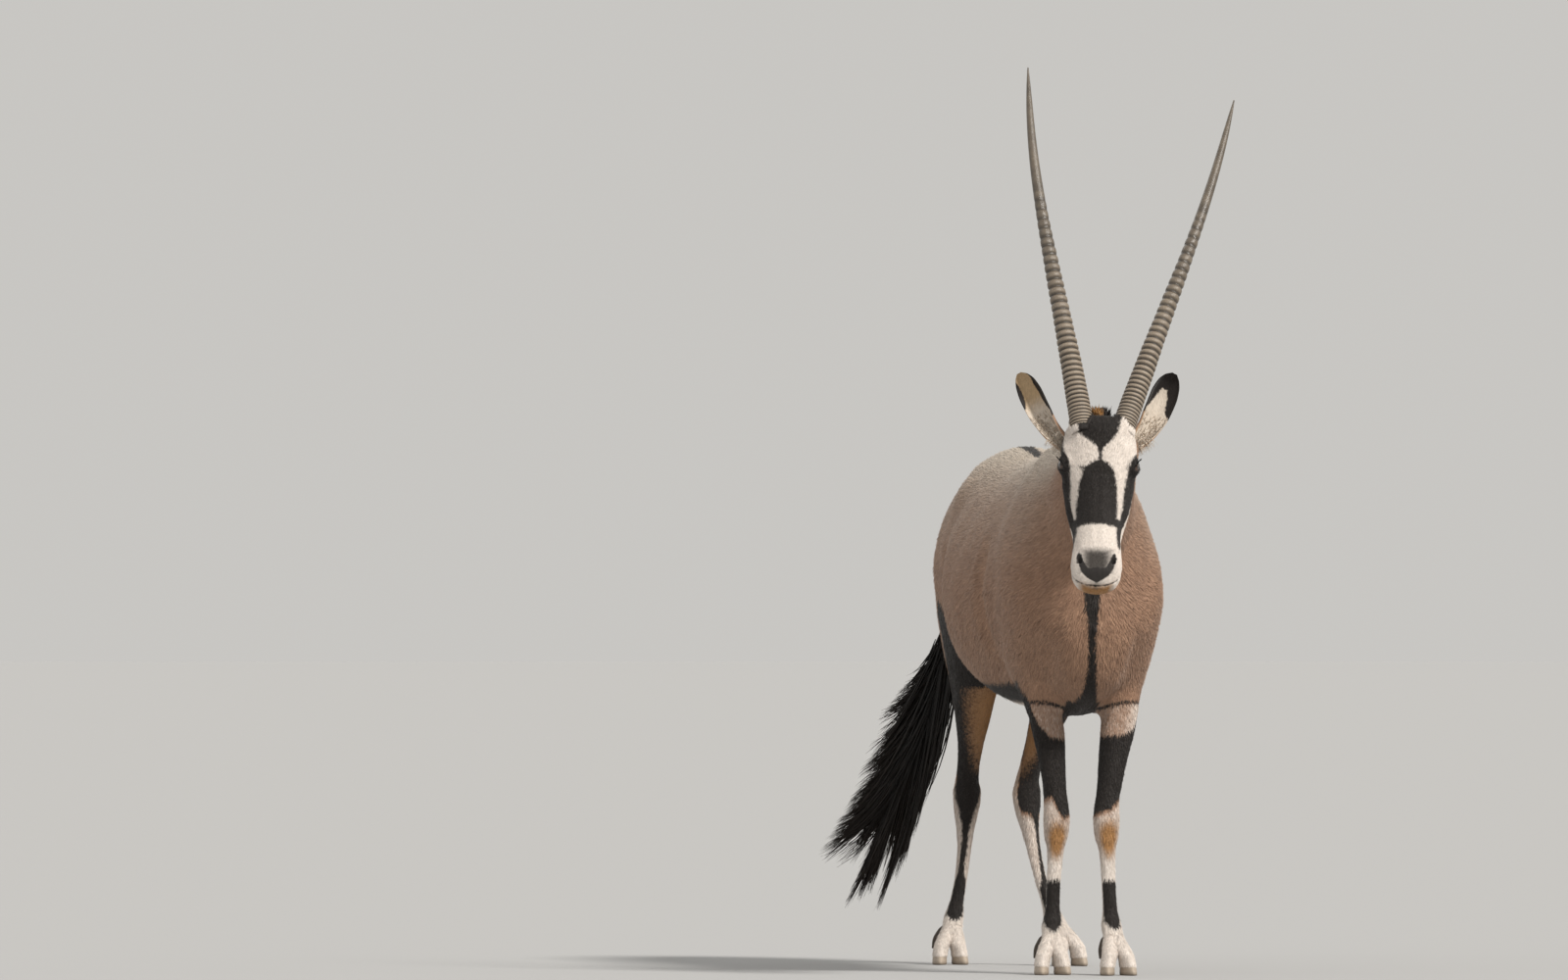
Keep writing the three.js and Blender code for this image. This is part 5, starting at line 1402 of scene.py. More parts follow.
def unwrap(name, p):
    """The skin's own chart, cut along the belly or behind: a share of the turn round the trunk, neck, head or leg,
    and a share of the length along it. Left and right legs lie side by side."""
    if name == "face":
        x, y, z = head_place(p).T
        return np.column_stack([(np.arctan2(x, z + 60) / (2 * math.pi)) % 1, np.clip((y + 20) / 460, 0, 1)])
    if name in ("trunk", "neck"):
        x, y, z = p.T
        return np.column_stack([(np.arctan2(x, z - 860) / (2 * math.pi)) % 1, np.clip((y + 800) / 1530, 0, 1)])
    left = p[:, 0] > np.interp(p[:, 1], [-300, 400], [0, -20])
    middle = np.where(p[:, 1] < 100, np.where(left, 55, -70), np.where(left, 60, -100))
    rear = np.where(p[:, 1] < 100, -370, 620)
    turn = (np.arctan2(p[:, 0] - middle, rear - p[:, 1]) / (2 * math.pi)) % 1
    return np.column_stack([0.49 * turn + 0.5 * left + 0.005, np.clip((p[:, 2] - 30) / 760, 0, 1)])


@functools.lru_cache(maxsize=None)
def skin_normals():
    """The middles and areas of the skin's triangles, the normals at its points, and how many are not the head's."""
    points, triangles, body_count = skin()
    a, b, c = points[triangles.T]
    cross = np.cross(b - a, c - a)
    area = np.linalg.norm(cross, axis=1) / 2
    normals = np.zeros_like(points)
    for k in range(3):
        for axis in range(3):
            normals[:, axis] += np.bincount(triangles[:, k], cross[:, axis], len(points))
    return (a + b + c) / 3, area, unit(normals), body_count


def region_of():
    """The name of each skin triangle's region."""
    middles, _, _, body_count = skin_normals()
    x, y, z = middles.T
    names = np.full(len(middles), "trunk", dtype=object)
    names[(y < -455) & (z > 640)] = "neck"
    names[(z < 578) | ((y > 250) & (z < 700))] = "leg"
    names[z < 200] = "foot"
    names[body_count:] = "face"
    return names


def tuft_roots(choose, spacing, rng):
    """Even random places on some of the skin's triangles, by area: the area is counted off in equal steps, each with
    a random place in it. Gives points and normals."""
    points, triangles, _ = skin()
    _, area, normals, _ = skin_normals()
    chosen = np.flatnonzero(choose)
    total = np.cumsum(area[chosen])
    count = int(total[-1] / spacing ** 2)
    at = (np.arange(count) + rng.random(count)) / count * total[-1]
    tri = triangles[chosen[np.minimum(np.searchsorted(total, at), len(chosen) - 1)]]
    r, q = np.sqrt(rng.random(count))[:, None], rng.random(count)[:, None]
    weights = np.stack([1 - r, r * (1 - q), r * q], axis=1)
    return (points[tri] * weights).sum(1), unit((normals[tri] * weights).sum(1))


def tufts(roots, normals, ways, length, width, thick, lift, rng):
    """Short flat tufts: each a closed blade of four triangles, whose two low corners and raised ridge stand at the
    root and whose tip lies along the hair, lifted by a small angle. Gives points and triangles."""
    n = len(roots)
    flat = unit(ways - normals * np.einsum("ij,ij->i", ways, normals)[:, None])
    across = np.cross(normals, flat)
    swing = rng.normal(0, 0.2, n)[:, None]
    flat = unit(flat + across * swing)
    across = np.cross(normals, flat)
    up = (lift * rng.uniform(0.4, 1.6, n))[:, None]
    tip_way = flat * np.cos(up) + normals * np.sin(up)
    low = roots - normals * (0.25 * thick)[:, None] - flat * (0.12 * length)[:, None]
    left, right = low - across * (width / 2)[:, None], low + across * (width / 2)[:, None]
    ridge = roots + normals * thick[:, None] + flat * (0.18 * length)[:, None]
    tip = roots + tip_way * length[:, None] + across * (width * rng.normal(0, 0.25, n))[:, None]
    points = np.stack([left, right, ridge, tip], axis=1).reshape(-1, 3)
    one = np.array([[0, 2, 1], [0, 1, 3], [0, 3, 2], [1, 2, 3]])
    faces = (one[None] + 4 * np.arange(n)[:, None, None]).reshape(-1, 3)
    return points, faces


PATCH = 0.0015  # half a tuft's patch on the unwrap


def tuft_patches(chart):
    """Each tuft's four corners as a small patch round its root's place on the unwrap."""
    corners = np.array([[-PATCH, -PATCH], [PATCH, -PATCH], [0, 0], [0, PATCH]])
    return (np.clip(chart, 0.003, 0.997)[:, None] + corners[None]).reshape(-1, 2)


def lock_patches(chart, rings):
    """Each lock's rings as rows of a small patch round its root's place on the unwrap."""
    turn = np.arange(LOCK_SIDES) * 2 * math.pi / LOCK_SIDES
    across, along = np.meshgrid(PATCH * np.cos(turn), np.linspace(-PATCH, PATCH, rings))
    shape = np.stack([across, along], axis=-1)
    return (np.clip(chart, 0.003, 0.997)[:, None] + shape.reshape(1, -1, 2)).reshape(-1, 2)


def near_opening(p):
    """True where no tuft is rooted: over the eyeballs, the nose pad, the nostrils and the line of the mouth."""
    middle, look, corner, upper = eye_frame(1)
    q = one_sided(head_place(p)) - middle
    eye = (almond(q @ corner, q @ upper) < 2.2) & (q @ look > 0) & (np.linalg.norm(q, axis=1) < 32)
    return eye | (head_marks(p)["bare"] > -1.0)


def growth(kind, p):
    """How long the hair grows at points, as a share of its region's length: longer up the face, under the jaw, on
    the crown and up the feet, and along the trunk's lower edge short over the forelegs and long behind them."""
    if kind == "face":
        side, down, out = one_sided(head_place(p)).T
        return 0.62 + 0.5 * smooth(330, 120, down) + 0.9 * smooth(-90, -150, out) \
            + 0.9 * smooth(95, 55, down) * smooth(52, 40, side)
    if kind == "foot":
        return 0.55 + 0.6 * smooth(30, 90, p[:, 2])
    if kind == "trunk":
        return 1 + np.where(p[:, 1] > -210, 0.35, -0.5) * smooth(660, 600, p[:, 2])
    return 1


def hair_piece(name, material, slot, hair, rings, chart, values, replaced=()):
    """Locks as one piece. Each value becomes an attribute: a number for all the locks, one for each lock, or a
    function of the share along a lock."""
    points, triangles, along, each = locks(*hair, rings)
    attributes = {key: value(along) if callable(value) else np.repeat(np.broadcast_to(value, len(hair[0])), each)
                  for key, value in values.items()}
    piece(name, points, triangles, material, slot, replaced, attributes=attributes, uv=lock_patches(chart, rings))


# Materials.


def node(tree, kind, out=0, **settings):
    """Adds a node and gives one of its outputs. Settings are its properties or its inputs, which go by their names
    with _ for a space, or by "in" and a number, and take a value or another node's output."""
    made = tree.nodes.new("ShaderNode" + kind)
    for key, value in settings.items():
        if hasattr(made, key):
            setattr(made, key, value)
            continue
        where = made.inputs[int(key[2:]) if key.startswith("in") else key.replace("_", " ")]
        if isinstance(value, bpy.types.NodeSocket):
            tree.links.new(where, value)
        else:
            where.default_value = value
    return made.outputs[out] if len(made.outputs) else None


# Settings of nodes used often: a value times in1 plus in2, two values added, and two colours mixed by in0.
TIMES = {"kind": "Math", "operation": "MULTIPLY_ADD"}
PLUS = {"kind": "Math", "operation": "ADD"}
MIX = {"kind": "Mix", "out": 2, "data_type": "RGBA"}


def new_material(name):
    """An empty material and a function that adds a node to it."""
    made = bpy.data.materials.new(name)
    made.use_nodes = True
    made.node_tree.nodes.clear()
    return made, functools.partial(node, made.node_tree)


def finished(made, add, **settings):
    """A material with its shader, whose inputs are given."""
    add("OutputMaterial", Surface=add("BsdfPrincipled", **settings))
    return made


def colour(code):
    """A hex colour as a node takes it."""
    return (*linear(code), 1)


def values_of(add, *names):
    """The object's own coordinates and the values kept with its points."""
    return add("TexCoord", "Object"), {key: add("Attribute", "Fac", attribute_name=key) for key in names}


def strands(add, position, stretch, scale, detail, rough):
    """Noise drawn out along an axis, as hair and fibres lie. Its scale is in features a metre."""
    return add("TexNoise", Vector=add("Mapping", Vector=position, Scale=stretch), Scale=scale, Detail=detail,
               Roughness=rough)


def edge_of(add, distance, wander, low, high):
    """1 inside a mark and 0 outside, from a distance inside its edge in millimetres, with the edge wandering."""
    return add("MapRange", Value=add(**PLUS, in0=distance, in1=wander), interpolation_type="SMOOTHSTEP", From_Min=low,
               From_Max=high)


def painted(add, base, layers):
    """A colour with others laid over it in turn: each layer is its share and its colour."""
    for share, above in layers:
        base = add(**MIX, in0=share, in6=base, in7=above)
    return base


def toned(add, base, tone):
    """A colour made lighter or darker by a number."""
    grey = add("CombineColor", Red=tone, Green=tone, Blue=tone)
    return add(**MIX, blend_type="MULTIPLY", in0=1.0, in6=base, in7=grey)


def hair_material(name, hexes, coat):
    """Antelope guard hair: short, flat, glossy shafts over skin. It is matt across and has a soft sheen where light
    grazes the shafts. The marks come from distances kept with each point, and their edges wander by a few
    millimetres as single hairs cross them."""
    made, add = new_material(name)
    position, marks = values_of(add, *MARK_NAMES, "stand", "tone", "grey_top_and_highlight")
    # Hair shafts are drawn 2 mm wide and 12 mm long, coarser than real ones, along the trunk or down the legs.
    shafts = add(**MIX, in0=marks["stand"], in6=strands(add, position, (1, 0.16, 1), 420, 3, 0.6),
                 in7=strands(add, position, (1, 1, 0.16), 420, 3, 0.6))
    broad = add("TexNoise", Vector=position, Scale=26, Detail=4, Roughness=0.55)
    wander = add(**TIMES, in0=add("TexNoise", Vector=position, Scale=130, Detail=3, Roughness=0.6), in1=9, in2=-4.5)
    both = add(**PLUS, in0=wander, in1=add(**TIMES, in0=shafts, in1=9, in2=-4.5))
    if coat:
        both = add(**PLUS, in0=both, in1=add(**TIMES, in0=marks["tone"], in1=3.0, in2=-1.5))
    # Grey flecks in the black are painted glints, where light catches single black hairs.
    glint_flecks = add("MapRange", Value=add("TexNoise", Vector=position, Scale=520, Detail=2, Roughness=0.7),
                  From_Min=0.57, From_Max=0.73, To_Max=0.5)
    black = add(**MIX, in0=glint_flecks, in6=colour(hexes["black"]), in7=colour("#665e57"))
    bare = edge_of(add, marks["bare"], wander, -2, 2)
    base = painted(add, colour(hexes["fawn"]), [
        (broad, colour(hexes["fawn_dark"])),
        # The pale grey over the top of the back is partly painted highlight
        (add(**TIMES, in0=marks["grey_top_and_highlight"], in1=0.95, in2=0), colour(hexes["grey"])),
        *[(edge_of(add, marks[key], both, low, high), colour(hexes[key]))
          for key, low, high in (("white", -9, 9), ("rust", -10, 10), ("soot", -8, 30))],
        (edge_of(add, marks["dark"], both, -3.5, 2.5), black),
        (bare, colour(hexes["bare"]))])
    # The tufts differ from each other, and the shafts' own light and dark show on the skin.
    tone = add(**TIMES, in0=marks["tone"], in1=0.5, in2=0.75) if coat else add(**TIMES, in0=shafts, in1=0.7, in2=0.62)
    return finished(made, add, Base_Color=toned(add, base, tone), Specular_IOR_Level=0.28, Sheen_Weight=0.12,
                    Sheen_Roughness=0.5, Roughness=add("MapRange", Value=bare, To_Min=0.62, To_Max=0.36),
                    Normal=add("Bump", Height=shafts, Strength=0.55, Distance=0.0016))


def long_hair_material(name, root_hex, tip_hex):
    """Coarse tail and mane hair: nearly black shafts with a low gloss along them, and browner, bleached tips."""
    made, add = new_material(name)
    position, values = values_of(add, "along", "tone")
    shafts = strands(add, position, (1, 1, 0.1), 500, 2, 0.6)
    base = add(**MIX, in0=values["along"], in6=colour(root_hex), in7=colour(tip_hex))
    tone = add("Math", operation="MULTIPLY", in0=add(**TIMES, in0=values["tone"], in1=0.7, in2=0.45),
               in1=add(**TIMES, in0=shafts, in1=0.8, in2=0.3))
    return finished(made, add, Base_Color=toned(add, base, tone), Roughness=0.48, Specular_IOR_Level=0.4,
                    Normal=add("Bump", Height=shafts, Strength=0.4, Distance=0.0012))


def keratin_material(name, low_hex, high_hex, dust_hex, roughness, grain, gloss=0.0):
    """Horn or hoof keratin, laid down in layers: a dull wall with fine lengthwise fibres, dusty in patches, with
    painted shade in its grooves, and worn smoother towards the tip."""
    made, add = new_material(name)
    position, values = values_of(add, "along", "hollow")
    fibres = strands(add, position, grain, 700, 3, 0.65)
    blotch = add("TexNoise", Vector=position, Scale=34, Detail=4, Roughness=0.6)
    base = painted(add, colour(low_hex), [
        (values["along"], colour(high_hex)),
        (add(**TIMES, in0=blotch, in1=0.5, in2=0), colour(dust_hex)),
        # Painted shade: the dark colour fills the grooves between the horn's rings, and darkens the dewclaws evenly
        (values["hollow"], colour("#17120e"))])
    return finished(made, add, Base_Color=toned(add, base, add(**TIMES, in0=fibres, in1=0.9, in2=0.5)),
                    Roughness=add("MapRange", Value=values["along"], To_Min=roughness, To_Max=roughness - gloss),
                    Specular_IOR_Level=0.5, Normal=add("Bump", Height=fibres, Strength=0.6, Distance=0.0012))


def eye_material(name, iris_hex, rim_hex):
    """A living eye: brown iris with a wide level pupil, under a wet clear cornea."""
    made, add = new_material(name)
    position, values = values_of(add, "away", "pupil")
    flecks = add("TexNoise", Vector=position, Scale=900, Detail=3, Roughness=0.6)
    base = painted(add, colour(iris_hex), [
        (flecks, colour("#0d0805")),
        (edge_of(add, values["away"], add(**TIMES, in0=flecks, in1=0.6, in2=0), 11.5, 13), colour(rim_hex)),
        (edge_of(add, values["pupil"], add(**TIMES, in0=flecks, in1=0.3, in2=0), -0.4, 0.6), colour("#030303"))])
    return finished(made, add, Base_Color=base, Roughness=0.12, IOR=1.38, Coat_Weight=1.0, Coat_Roughness=0.03)


def bare_skin_material(name, hexcode, roughness, pore):
    """Hairless skin at the edge of the eyelids: dark, finely pored and moist."""
    made, add = new_material(name)
    pores = add("TexNoise", Vector=add("TexCoord", "Object"), Scale=pore, Detail=2, Roughness=0.5)
    base = toned(add, colour(hexcode), add(**TIMES, in0=pores, in1=0.9, in2=0.5))
    return finished(made, add, Base_Color=base, Roughness=roughness,
                    Normal=add("Bump", Height=pores, Strength=0.5, Distance=0.0008))


def ear_material(name, hexes):
    """Thin ear skin under fine hair: tan and cream inside, fawn behind, with black margins and a black tip."""
    made, add = new_material(name)
    position, values = values_of(add, "inner", "black", "cream")
    hairs = strands(add, position, (1, 1, 0.2), 480, 3, 0.6)
    wander = add(**TIMES, in0=add("TexNoise", Vector=position, Scale=150, Detail=3, Roughness=0.6), in1=8, in2=-4)
    base = painted(add, colour(hexes["fawn"]), [
        (values["inner"], colour(hexes["ear_inner"])),
        (edge_of(add, values["cream"], wander, -9, 9), colour(hexes["ear_cream"])),
        (edge_of(add, values["black"], wander, -2, 2), colour(hexes["black"]))])
    return finished(made, add, Base_Color=toned(add, base, add(**TIMES, in0=hairs, in1=0.8, in2=0.58)), Roughness=0.6,
                    Specular_IOR_Level=0.25, Sheen_Weight=0.1,
                    Normal=add("Bump", Height=hairs, Strength=0.5, Distance=0.0012))


def floor_material(name, hexcode):
    """Matt seamless studio paper."""
    made, add = new_material(name)
    return finished(made, add, Base_Color=colour(hexcode), Roughness=0.9, Specular_IOR_Level=0.1)


# The add-on.


def hex_property(name, description, default):
    """A colour, kept as its hex code."""
    return bpy.props.StringProperty(name=name, description=description, default=default, maxlen=7)


class GemsbokColours(bpy.types.PropertyGroup):
    fawn: hex_property("Fawn", "Hair of the neck and flanks", "#a4826a")
    fawn_dark: hex_property("Dark fawn", "Deeper patches of the flanks", "#876854")
    # Laid over the top of the back: partly its own grey hair, partly painted highlight where the light falls on the top
    grey: hex_property("Grey", "Hair along the top of the back", "#b2a799")
    white: hex_property("White", "Hair of the face, belly and feet", "#dad0c7")
    black: hex_property("Black", "Marks of the face, throat, flank and legs", "#191310")
    rust: hex_property("Rust", "Knees, hocks and chin", "#a0764a")
    soot: hex_property("Soot", "Thin grey hair over the nose", "#45403c")
    bare: hex_property("Bare skin", "Nose pad and lips", "#2a2624")
    horn_low: hex_property("Horn foot", "Ringed lower part of the horns", "#85786a")
    horn_high: hex_property("Horn tip", "Smooth upper part of the horns", "#2a2523")
    hoof: hex_property("Hoof", "Wall of the hooves", "#b3a493")
    tail_root: hex_property("Tail hair", "Long hair near its roots", "#14100d")
    tail_tip: hex_property("Tail tips", "Bleached tips of the long hair", "#3a2f27")
    ear_inner: hex_property("Ear", "Inside of the ears", "#b49a78")
    ear_cream: hex_property("Ear hair", "Pale hair inside the ears", "#cbbfb1")
    iris: hex_property("Iris", "Iris of the eye", "#5a3820")
    floor: hex_property("Floor", "Studio paper", "#aeaeae")


def length_property(name, description, default, low, high):
    """A length in metres."""
    return bpy.props.FloatProperty(name=name, description=description, default=default, min=low, max=high,
                                   unit="LENGTH", subtype="DISTANCE")


class GemsbokSizes(bpy.types.PropertyGroup):
    ring_height: length_property("Ring height", "How far a ring stands proud at the horn's foot", 0.0048, 0, 0.01)
    mane_height: length_property("Mane height", "Length of the mane's hair", 0.036, 0.01, 0.06)
    tail_locks: bpy.props.IntProperty(name="Tail locks", description="Locks in the tail's long hair", default=2600,
                                      min=100, max=6000)
    mane_locks: bpy.props.IntProperty(name="Mane locks", description="Locks in the mane", default=1500, min=100,
                                      max=4000)


class GemsbokStage(bpy.types.PropertyGroup):
    camera_distance: length_property("Camera distance", "From the animal's shoulders to the camera", 40.0, 5, 60)
    camera_height: length_property("Camera height", "Camera over the ground", 0.93, 0.1, 3)
    azimuth: bpy.props.FloatProperty(name="Azimuth", description="Way round from straight in front",
                                     default=math.radians(-9.7), min=-math.pi, max=math.pi, unit="ROTATION",
                                     subtype="ANGLE")
    pixels_a_metre: bpy.props.FloatProperty(name="Scale", description="Points a metre covers at the shoulders",
                                            default=452.0, min=50, max=2000)


def hexes(context):
    """The colours now set, by name."""
    group = context.scene.gemsbok_colours
    return {key: getattr(group, key) for key in group.__annotations__}


def mark_attributes(p):
    """The marks at points, how far the surface stands upright, and how much pale grey the top of the back takes: partly
    its own grey hair, partly painted highlight.
    """
    out = marks_at(p)
    y, z = p[:, 1], p[:, 2]
    out["stand"] = np.maximum(smooth(640, 560, z), smooth(-520, -640, y))
    # Pale grey over the top of the back: partly the back's own grey hair, partly painted highlight where light falls on
    # the top
    out["grey_top_and_highlight"] = (0.3 * smooth(860, 1100, z) + 0.7 * smooth(1040, 1180, z)) * smooth(-600, -380, y)
    return out


LEG_PARTS = {"fore": ("forearm", "cannon", "pastern"), "hind": ("thigh", "shank", "cannon", "pastern")}
# The picture's size, the point in it where the modelling origin lands, and the camera's sensor in mm.
PICTURE, ORIGIN_AT, SENSOR = (1600, 1000), (1076, 570), 36
FLOOR_SIDES = 128


class GEMSBOK_OT_stage(bpy.types.Operator):
    """Floor, lights and camera"""
    bl_idname = "gemsbok.stage"
    bl_label = "Stage"

    def execute(self, context):
        """A wide paper floor, a soft key light from the picture's right, a fill, a weak light from behind and a pale
        light all round, and a long lens at the angle and framing of the picture, which looks level."""
        group, colours = context.scene.gemsbok_stage, hexes(context)
        turn = np.linspace(0, 2 * math.pi, FLOOR_SIDES + 1)[:-1]
        radii = np.array([6.0, 20.0, 120.0])
        x, y = np.outer(radii, np.cos(turn)), np.outer(radii, np.sin(turn))
        mesh = bpy.data.meshes.new("floor")
        faces = [list(range(FLOOR_SIDES))] + ring_faces(len(radii), FLOOR_SIDES)[:, ::-1].tolist()
        mesh.from_pydata(np.stack([x, y, 0 * x], axis=-1).reshape(-1, 3).tolist(), [], faces)
        floor = bpy.data.objects.new("floor", mesh)
        context.scene.collection.objects.link(floor)
        floor.data.materials.append(floor_material("studio_paper", colours["floor"]))

        azimuth = group.azimuth
        ahead = Vector((-math.sin(azimuth), math.cos(azimuth), 0))
        camera = bpy.data.cameras.new("camera")
        camera.sensor_width = SENSOR
        camera.lens = SENSOR * group.camera_distance * group.pixels_a_metre / PICTURE[0]
        camera.clip_end = 400
        camera.dof.use_dof = False
        aim = Vector((SHIFT[0], SHIFT[1], group.camera_height))
        camera.shift_x = (PICTURE[0] / 2 - ORIGIN_AT[0]) / PICTURE[0]
        camera.shift_y = (ORIGIN_AT[1] - PICTURE[1] / 2) / PICTURE[0]
        holder = bpy.data.objects.new("camera", camera)
        context.scene.collection.objects.link(holder)
        holder.location = aim - ahead * group.camera_distance
        holder.rotation_euler = (math.pi / 2, 0, azimuth)
        context.scene.camera = holder

        for name, power, soft, place, tint in (
                ("key", 3.3, 10, (4.5, -6.0, 7.0), (1.0, 0.965, 0.91)),
                ("fill", 0.2, 60, (-7.0, -6.0, 2.5), (0.92, 0.96, 1.0)),
                ("back", 0.3, 40, (-2.0, 7.0, 4.0), (1.0, 0.98, 0.95))):
            light = bpy.data.lights.new(name, "SUN")
            light.energy, light.angle, light.color = power, math.radians(soft), tint
            lamp = bpy.data.objects.new(name, light)
            lamp.location = place
            lamp.rotation_euler = (-Vector(place)).to_track_quat("-Z", "Y").to_euler()
            context.scene.collection.objects.link(lamp)
        world = bpy.data.worlds.new("studio")
        world.use_nodes = True
        background = world.node_tree.nodes["Background"]
        background.inputs["Color"].default_value = colour("#dddbd7")
        background.inputs["Strength"].default_value = 0.8
        context.scene.world = world
        context.scene.view_settings.view_transform = "Standard"
        return {"FINISHED"}


class GEMSBOK_OT_skin(bpy.types.Operator):
    """The skin of body, legs, neck and head in one piece"""
    bl_idname = "gemsbok.skin"
    bl_label = "Skin"

    def execute(self, context):
        points, triangles, _ = skin()
        material = hair_material("short_hair_skin", hexes(context), coat=False)
        replaced = ["torso", "neck", "head"]
        for leg in LIMBS:
            replaced += [f"{leg}_{part}" for part in LEG_PARTS[leg[:4]]]
        attributes = mark_attributes(points)
        attributes["tone"] = np.full(len(points), 0.5)
        piece("skin", points, triangles, material, "coat", replaced, attributes=attributes)
        return {"FINISHED"}


class GEMSBOK_OT_horns(bpy.types.Operator):
    """Both horns"""
    bl_idname = "gemsbok.horns"
    bl_label = "Horns"

    def execute(self, context):
        colours, sizes = hexes(context), context.scene.gemsbok_sizes
        material = keratin_material("ringed_horn_keratin", colours["horn_low"], colours["horn_high"], "#b1a18c", 0.5,
                                    (1, 1, 0.08), 0.2)
        rings = np.arange(HORN_RINGS + 1)
        for name, (start, end, bow) in HORNS.items():
            (points, triangles), s = horn_surface(start, end, bow, sizes.ring_height * 1000)
            along = np.concatenate([np.repeat(s, HORN_SIDES), [0, 1]])
            k = np.interp(along, ring_at(rings), rings) % 1
            # Painted shade in the grooves between the rings, fading out where the rings end
            hollow = (1 - ring_ridge(k)) * np.clip(1.03 - along / RINGED, 0, 1) ** 0.3
            piece(name + "_ringed", points, triangles, material, "horn", [name],
                  attributes={"along": smooth(0.1, 0.66, along), "hollow": hollow})
        return {"FINISHED"}


class GEMSBOK_OT_ears(bpy.types.Operator):
    """Both ears"""
    bl_idname = "gemsbok.ears"
    bl_label = "Ears"

    def execute(self, context):
        material = ear_material("ear_leather_hair", hexes(context))
        for name in EARS:
            points, triangles, chart, inner = ear_surface(name)
            s, turn = chart.T
            low, high = (1 - turn) * EAR_HALF, (1 + turn) * EAR_HALF
            bands = EAR_BLACK[name]
            wider = np.where(inner > 0.5, 0, 2.5)
            black = either((s - bands["tip"]) * EAR_LENGTH, by(bands["plus"], s) + wider - low,
                           by(bands["minus"], s) + wider - high)
            cream = np.minimum(high - 6, 12) if "left" in name else np.minimum((0.6 - s) * 70, 12)
            cream = np.where(inner > 0.5, cream, -20)
            piece(name + "_leaf", points, triangles, material, "ear", [name],
                  attributes={"inner": inner, "black": black, "cream": cream})
            hair = ear_locks(name)
            count = len(hair[0])
            chart = np.column_stack([np.linspace(0.05, 0.95, count), np.full(count, 0.5)])
            hair_piece(name + "_hair", material, "ear", hair, 4, chart, {"inner": 1, "black": -20, "cream": 4})
        return {"FINISHED"}


class GEMSBOK_OT_eyes(bpy.types.Operator):
    """Both eyeballs, with the rims and lashes of their lids"""
    bl_idname = "gemsbok.eyes"
    bl_label = "Eyes"

    def execute(self, context):
        """A ball with a slightly steeper cornea: the radius grows by 1.1 mm times exp(-(angle from the way it looks /
        0.45)^2)."""
        material = eye_material("wet_cornea", hexes(context)["iris"], "#0b0807")
        rim = bare_skin_material("moist_eyelid_skin", "#241c18", 0.3, 1600)
        lash = long_hair_material("eyelash_hair", "#070605", "#0d0a09")
        for m, name in ((1, "left"), (-1, "right")):
            middle, look, corner, upper = eye_frame(m)
            polar = np.linspace(0, math.pi, 50)[1:-1]
            turn = np.arange(64) * 2 * math.pi / 64
            radius = EYE_RADIUS + 1.1 * np.exp(-(polar / 0.45) ** 2)
            ways = np.cos(polar)[:, None, None] * look + np.sin(polar)[:, None, None] * (
                np.cos(turn)[None, :, None] * corner + np.sin(turn)[None, :, None] * upper)
            places = middle + radius[:, None, None] * ways
            points, triangles = closed_rows(head_point(places))
            poles = [middle + look * (EYE_RADIUS + 1.1), middle - look * EYE_RADIUS]
            points[-2:] = head_point(poles)
            q = np.concatenate([places.reshape(-1, 3), poles]) - middle
            behind = q @ look < 0
            away = np.where(behind, EYE_RADIUS, np.linalg.norm(q - np.outer(q @ look, look), axis=1))
            # The pupil is an oval of half length 7 mm and half height 3.6 mm.
            pupil = np.where(behind, -5, 3.6 * (1 - np.hypot(q @ corner / 7.0, q @ upper / 3.6)))
            piece(f"eyeball_{name}", points, outward_closed(points, triangles), material, "eye", [f"eye_{name}"],
                  attributes={"away": away, "pupil": pupil})
            piece(f"lid_rim_{name}", *lid_rim(m), rim, "dark")
            hair = lashes(m)
            hair_piece(f"lashes_{name}", lash, "dark", hair, 5, unwrap("face", hair[0]),
                       {"along": np.copy, "tone": 0.4})
        return {"FINISHED"}


class GEMSBOK_OT_feet(bpy.types.Operator):
    """Hooves and dewclaws"""
    bl_idname = "gemsbok.feet"
    bl_label = "Feet"

    def execute(self, context):
        material = keratin_material("dusty_hoof_keratin", "#5f5346", hexes(context)["hoof"], "#9a8d7f", 0.62,
                                    (1, 1, 0.15))
        for leg, limb in LIMBS.items():
            for m, side in ((1, "left"), (-1, "right")):
                points, triangles = hoof_surface(limb, m)
                piece(f"{leg}_toe_{side}", points, triangles, material, "hoof", [f"{leg}_hoof_{side}"],
                      attributes={"along": np.clip(points[:, 2] / 9, 0, 1), "hollow": np.zeros(len(points))})
                path = [limb.middle(np.array(float(z))) + np.array(way) for z, way in (
                    (88, [m * 13, 10, 0]), (74, [m * 19, 24, 0]), (57, [m * 26, 35, 0]), (44, [m * 31, 40, -8]))]
                points, triangles = strap_surface(path, [12, 20, 18, 8], [10, 15, 12, 6], STRAP_FLAT)
                piece(f"{leg}_claw_{side}", points, triangles, material, "hoof", [f"{leg}_dewclaw_{side}"],
                      # The dewclaws take the grooves' dark colour evenly all over
                      attributes={"along": np.zeros(len(points)), "hollow": np.full(len(points), 0.6)})
        return {"FINISHED"}


